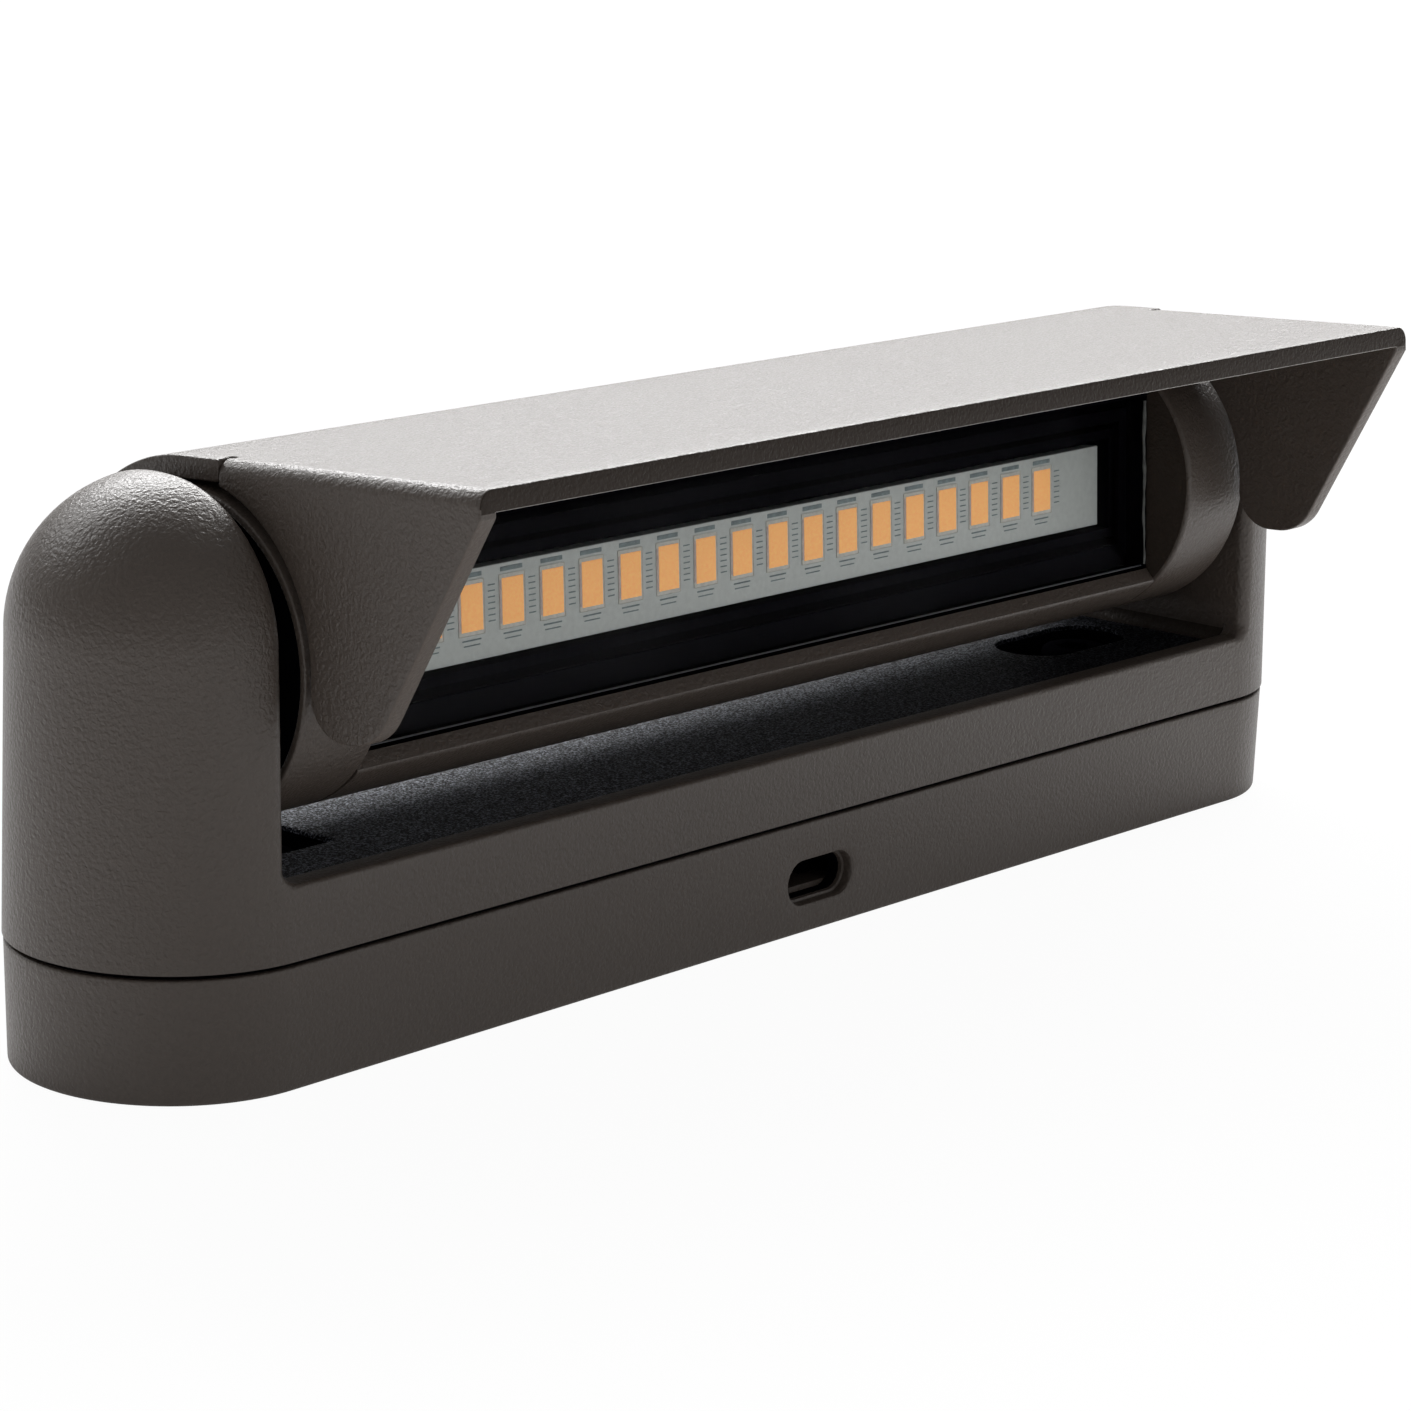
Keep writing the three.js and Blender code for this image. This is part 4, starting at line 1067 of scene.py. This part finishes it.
def cheek_edges():
    """The cheek's front and rear edges from the bend to its lowest point, with their outward
    directions: front edge, slope and toe; and the cut, the arc round the head and the heel."""
    knee = np.array([HOOD_FRONT, HOOD_INSIDE - FRONT_DROP])
    toe = np.array([TOE_AHEAD, TOE_UP])
    away = knee - toe
    toe_angle = math.degrees(math.atan2(away[1], away[0]) - math.acos(TOE_RADIUS / math.hypot(*away)))
    tangent = arc(toe, TOE_RADIUS, toe_angle, toe_angle, 0)[0]
    upright = np.array([(HOOD_FRONT, HOOD_INSIDE), (HOOD_FRONT, HOOD_INSIDE - FRONT_DROP / 2)])
    slope = np.linspace(knee, tangent, 15)
    slope_out = np.array([math.cos(math.radians(toe_angle)), math.sin(math.radians(toe_angle))])
    toe_round = arc(toe, TOE_RADIUS, toe_angle, -90, 20)[1:]
    lowest = np.array([[(TOE_AHEAD + HEEL_AHEAD) / 2, CHEEK_BOTTOM]])
    down = np.array([[0.0, -1.0]])
    front = np.concatenate([upright, slope, toe_round, lowest])
    front_out = np.concatenate([
        [(1, 0), (1, 0)], [(slope_out + (1, 0)) / 2], np.broadcast_to(slope_out, (14, 2)),
        (toe_round - toe) / TOE_RADIUS, down,
    ])
    cut = FOLD_REAR + SLIT_HALF_WIDTH
    high = math.degrees(math.acos(cut / CHEEK_ARC))
    low = math.degrees(math.asin(HEEL_UP / CHEEK_ARC))
    round_head = arc((0, 0), CHEEK_ARC, high, low, 15)
    heel = np.array([HEEL_AHEAD, HEEL_UP])
    heel_round = arc(heel, HEEL_RADIUS, 180, 270, 20)[1:]
    rear = np.concatenate([[(cut, HOOD_INSIDE)], round_head, heel_round, lowest])
    rear_out = np.concatenate([
        [(-1, 0)], -round_head / CHEEK_ARC, (heel_round - heel) / HEEL_RADIUS, down,
    ])
    return front, front_out, rear, rear_out


def cheek_rows(side):
    """Loops from one edge of the cheek to the other, down to its lowest point."""
    rows = []
    for front, front_out, rear, rear_out in zip(*cheek_edges()):
        plane, depth = edge_loop(rear, rear_out, front, front_out, FOLD_SHARES)
        rows.append(in_head(side * (cheek_side(plane[:, 1]) - depth), plane[:, 0], plane[:, 1]))
    return rows


class LIGHT_OT_hood(bpy.types.Operator):
    """Make the hood: top plate, curl, folds and cheeks as one sheet"""
    bl_idname = "light.make_hood"
    bl_label = "Make hood"

    def execute(self, context):
        patches = [hood_top()]
        for side in (-1, 1):
            folded = surface(np.stack([*bend_rows(side), *cheek_rows(side)]))
            patches += [curl_end(side), slit_wall(side), folded]
        # Painted shade on the front cut, and painted highlights along the cheeks' front edges and on the round
        # under the front cut
        tests = (self.on_front_cut, self.on_cheek_edge, self.on_front_rim)
        parts = []
        for patch in patches:
            ahead, up = from_head(patch[0])[1:]
            for number, test in enumerate(tests, 1):
                patch, chosen = split(patch, test(ahead, up), number)
                parts.append(chosen)
            parts.append(patch)
        make_piece("hood_sheet", parts, ("bronze_paint", "cut_edge", "light_edge", "bare_edge"),
                   HEAD, ["hood"])
        return {"FINISHED"}

    def on_front_cut(self, ahead, up):
        """Which points lie in the flat cut at the front of the top plate, which has painted shade."""
        return (ahead > HOOD_FRONT - 0.5 * HOOD_EDGE) & (up > HOOD_INSIDE)

    def on_cheek_edge(self, ahead, up):
        """Which points lie in the cut along a cheek's slope and round its toe, which has a painted highlight."""
        front, front_out = cheek_edges()[:2]
        knee, out = front[2], front_out[3]
        on_slope = (ahead - knee[0]) * out[0] + (up - knee[1]) * out[1] > -0.5 * HOOD_EDGE
        on_toe = np.hypot(ahead - TOE_AHEAD, up - TOE_UP) > TOE_RADIUS - 0.5 * HOOD_EDGE
        return (up < HOOD_INSIDE) & (on_slope | (on_toe & (ahead > TOE_AHEAD) & (up < TOE_UP)))

    def on_front_rim(self, ahead, up):
        """Which points lie in the fine round under the front cut, which has a painted highlight."""
        return (ahead > HOOD_FRONT - 1.05 * HOOD_EDGE) & (np.abs(up - HOOD_INSIDE) < 1.05 * HOOD_EDGE)


def screw_surface(points, axis, reach_down=0.0):
    """A socket screw turned round an axis, in the room that some points take: hexagonal socket,
    domed head and plain shank. The head can reach down further, to the sheet below it.

    Each row is a ring with a radius and a height. Its radius is held at the flats' distance where the
    row belongs to the hexagon, and is the same all round elsewhere."""
    axis = np.asarray(axis, float)
    first = np.cross(axis, (1.0, 0.0, 0.0))
    first /= np.linalg.norm(first)
    second = np.cross(axis, first)
    rise, along, across = points @ axis, points @ first, points @ second
    middle = [(values.min() + values.max()) / 2 for values in (along, across)]
    away = np.hypot(along - middle[0], across - middle[1])
    top, bottom, head = rise.max(), rise.min(), away.max()
    under = rise[away > 0.9 * head].min()
    shank = away[rise < under - 0.1 * MM].max()
    under -= reach_down
    flats, deep = 0.46 * head, top - 0.6 * (top - under)
    edge, dome = 0.12 * (top - under), 0.3 * head
    rows = [(0.0, deep, 0), (flats, deep, 1), (flats, top - edge / 2, 1), (1.25 * flats, top, 0)]
    brow = arc((head - dome, top - dome), dome, 90, 0, 8)
    rows += [(radius, max(height, under + edge), 0) for radius, height in brow]
    rows += [(head, under + edge, 0), (head - edge, under, 0), (shank, under, 0)]
    rows += [(shank, bottom, 0), (0.0, bottom, 0)]
    turn = angles(0, 360, 48)[:-1]
    corner = 1 / np.cos((turn + math.pi / 6) % (math.pi / 3) - math.pi / 6)
    rings = []
    for radius, height, six_sided in rows:
        reach = radius * (corner if six_sided else 1)
        ring = first * (middle[0] + reach * np.cos(turn))[:, None] + axis * height
        rings.append(ring + second * (middle[1] + reach * np.sin(turn))[:, None])
    return surface(np.stack(rings))


class LIGHT_OT_screws(bpy.types.Operator):
    """Make the screws that show: in the pockets, through the hood and in the bottom plate"""
    bl_idname = "light.make_screws"
    bl_label = "Make screws"

    def execute(self, context):
        for node, part in list(frame["nodes"].items()):
            if not node.startswith(("yoke_screw", "hood_screw", "bottom_plate_screw")):
                continue
            points = vertices_of(part)
            body, kind, slot, axis, reach_down = STAND, "stainless", "steel", (0, 0, -1), 0.0
            if node.startswith("yoke_screw"):
                # The screws in the pockets are matte black: painted shade
                kind, slot, axis = "deep_black", "black_steel", (0, 0, 1)
            if node.startswith("hood_screw"):
                ahead, up = (values.mean() for values in from_head(points)[1:])
                body, reach_down = HEAD, SCREW_LIFT
                axis = (in_head(0, ahead, up) - in_head(0, 0, 0)) / math.hypot(ahead, up)
            turned = screw_surface(points, axis, reach_down)
            make_piece(f"{node}_turned", [turned], [kind], body, [node], sharp=30)
        return {"FINISHED"}


class LIGHT_OT_small_parts(bpy.types.Operator):
    """Give every carried-over part its finish"""
    bl_idname = "light.finish_small_parts"
    bl_label = "Finish small parts"

    def execute(self, context):
        slots = {row["node"]: row["material_slot"] for row in frame["record"]["subparts"]}
        for node, part in frame["nodes"].items():
            part.data.materials.clear()
            part.data.materials.append(finish_of(SLOT_FINISHES[slots[node]]))
        return {"FINISHED"}


# Stage

def pose_of(place, right, up, back):
    """The matrix of a thing at a place, from the directions of its own axes."""
    turn = Matrix(np.array([right, up, back]).T.tolist()).to_4x4()
    return Matrix.Translation(place) @ turn


class LIGHT_OT_stage(bpy.types.Operator):
    """Make the floor, the studio lamps, the room light and the camera"""
    bl_idname = "light.make_stage"
    bl_label = "Make stage"

    def execute(self, context):
        scene = context.scene
        settings = scene.light_stage
        self.floor(settings)
        self.room(scene, settings)
        self.lamp("back_lamp", (0.62, 0.5, 0.64), (1.1, 0.34), settings.back_power)
        self.lamp("left_lamp", (-0.1, 0.86, 0.6), (0.5, 0.3), settings.back_power * LEFT_SHARE)
        self.lamp("front_lamp", (0.4, -0.9, 0.2), (1.1, 0.34), settings.front_power)
        self.camera(scene)
        scene.view_settings.view_transform = "Standard"
        return {"FINISHED"}

    def floor(self, settings):
        corners = FLOOR_REACH * np.array([(-1, -1, 0), (1, -1, 0), (1, 1, 0), (-1, 1, 0)])
        mesh = bpy.data.meshes.new("floor")
        mesh.from_pydata(corners.tolist(), [], [[0, 1, 2, 3]])
        floor = add_object("floor", mesh)
        material, tree, shader = new_material("studio_floor")
        feed(tree, shader, {
            "Base Color": (*settings.floor_colour, 1), "Roughness": 0.9, "Specular IOR Level": 0.1,
        })
        seen = add_node(tree, "LightPath", output="Is Camera Ray")
        glow = settings.table_glow
        terms = {0: seen, 1: TABLE_SEEN - glow, 2: glow}
        share = add_node(tree, "Math", terms, operation="MULTIPLY_ADD")
        show_mix(tree, "Material Output", share, shader.outputs[0], add_node(tree, "Emission"))
        mesh.materials.append(material)

    def room(self, scene, settings):
        world = bpy.data.worlds.new("studio")
        world.use_nodes = True
        tree = world.node_tree
        even = tree.nodes["Background"]
        feed(tree, even, {"Color": (1, 1, 1, 1), "Strength": settings.room_level})
        white = add_node(tree, "Background", {"Color": (1, 1, 1, 1), "Strength": 1.0})
        seen = add_node(tree, "LightPath", output="Is Camera Ray")
        show_mix(tree, "World Output", seen, even.outputs[0], white)
        scene.world = world

    def lamp(self, name, place, size, power):
        data = bpy.data.lights.new(name, "AREA")
        data.shape = "RECTANGLE"
        data.size, data.size_y = size
        data.energy = power
        towards = np.subtract(LAMP_AIM, place)
        side = np.cross(towards, (0, 0, 1))
        axes = (side, np.cross(side, towards), -towards)
        right, up, back = (axis / np.linalg.norm(axis) for axis in axes)
        add_object(name, data).matrix_world = pose_of(place, right, up, back)

    def camera(self, scene):
        data = bpy.data.cameras.new("camera")
        data.lens = CAMERA_LENS
        data.sensor_width = SENSOR
        across, forward = math.sin(CAMERA_YAW), math.cos(CAMERA_YAW)
        ahead = np.array([
            across * math.cos(CAMERA_PITCH), forward * math.cos(CAMERA_PITCH), math.sin(CAMERA_PITCH)])
        level = np.array([forward, -across, 0])
        upright = np.cross(level, ahead)
        right = math.cos(CAMERA_ROLL) * level + math.sin(CAMERA_ROLL) * upright
        up = -math.sin(CAMERA_ROLL) * level + math.cos(CAMERA_ROLL) * upright
        scene.camera = add_object("camera", data)
        scene.camera.matrix_world = pose_of(CAMERA_PLACE, right, up, -ahead)


class LIGHT_PT_panel(bpy.types.Panel):
    """Lists the light's settings and makers."""
    bl_idname = "LIGHT_PT_panel"
    bl_label = "Landscape light"
    bl_space_type = "VIEW_3D"
    bl_region_type = "UI"
    bl_category = "Light"

    def draw(self, context):
        column = self.layout.column()
        for settings in (context.scene.light_finish, context.scene.light_stage):
            for name in settings.__annotations__:
                column.prop(settings, name)
        for operator in OPERATORS:
            column.operator(operator.bl_idname)


OPERATORS = (
    LIGHT_OT_small_parts,
    LIGHT_OT_base,
    LIGHT_OT_yoke,
    LIGHT_OT_head_body,
    LIGHT_OT_lens,
    LIGHT_OT_light_engine,
    LIGHT_OT_hood,
    LIGHT_OT_screws,
    LIGHT_OT_stage,
)
CLASSES = (LightFinish, LightStage, *OPERATORS, LIGHT_PT_panel)


def register():
    for cls in CLASSES:
        bpy.utils.register_class(cls)
    bpy.types.Scene.light_finish = bpy.props.PointerProperty(type=LightFinish)
    bpy.types.Scene.light_stage = bpy.props.PointerProperty(type=LightStage)


def unregister():
    del bpy.types.Scene.light_stage
    del bpy.types.Scene.light_finish
    for cls in reversed(CLASSES):
        bpy.utils.unregister_class(cls)


def main():
    """Makes every piece and the stage."""
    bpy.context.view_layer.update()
    register()
    bpy.ops.light.finish_small_parts()
    bpy.ops.light.make_base()
    bpy.ops.light.make_yoke()
    bpy.ops.light.make_head_body()
    bpy.ops.light.make_lens()
    bpy.ops.light.make_light_engine()
    bpy.ops.light.make_hood()
    bpy.ops.light.make_screws()
    bpy.ops.light.make_stage()


if __name__ == "__main__":
    main()
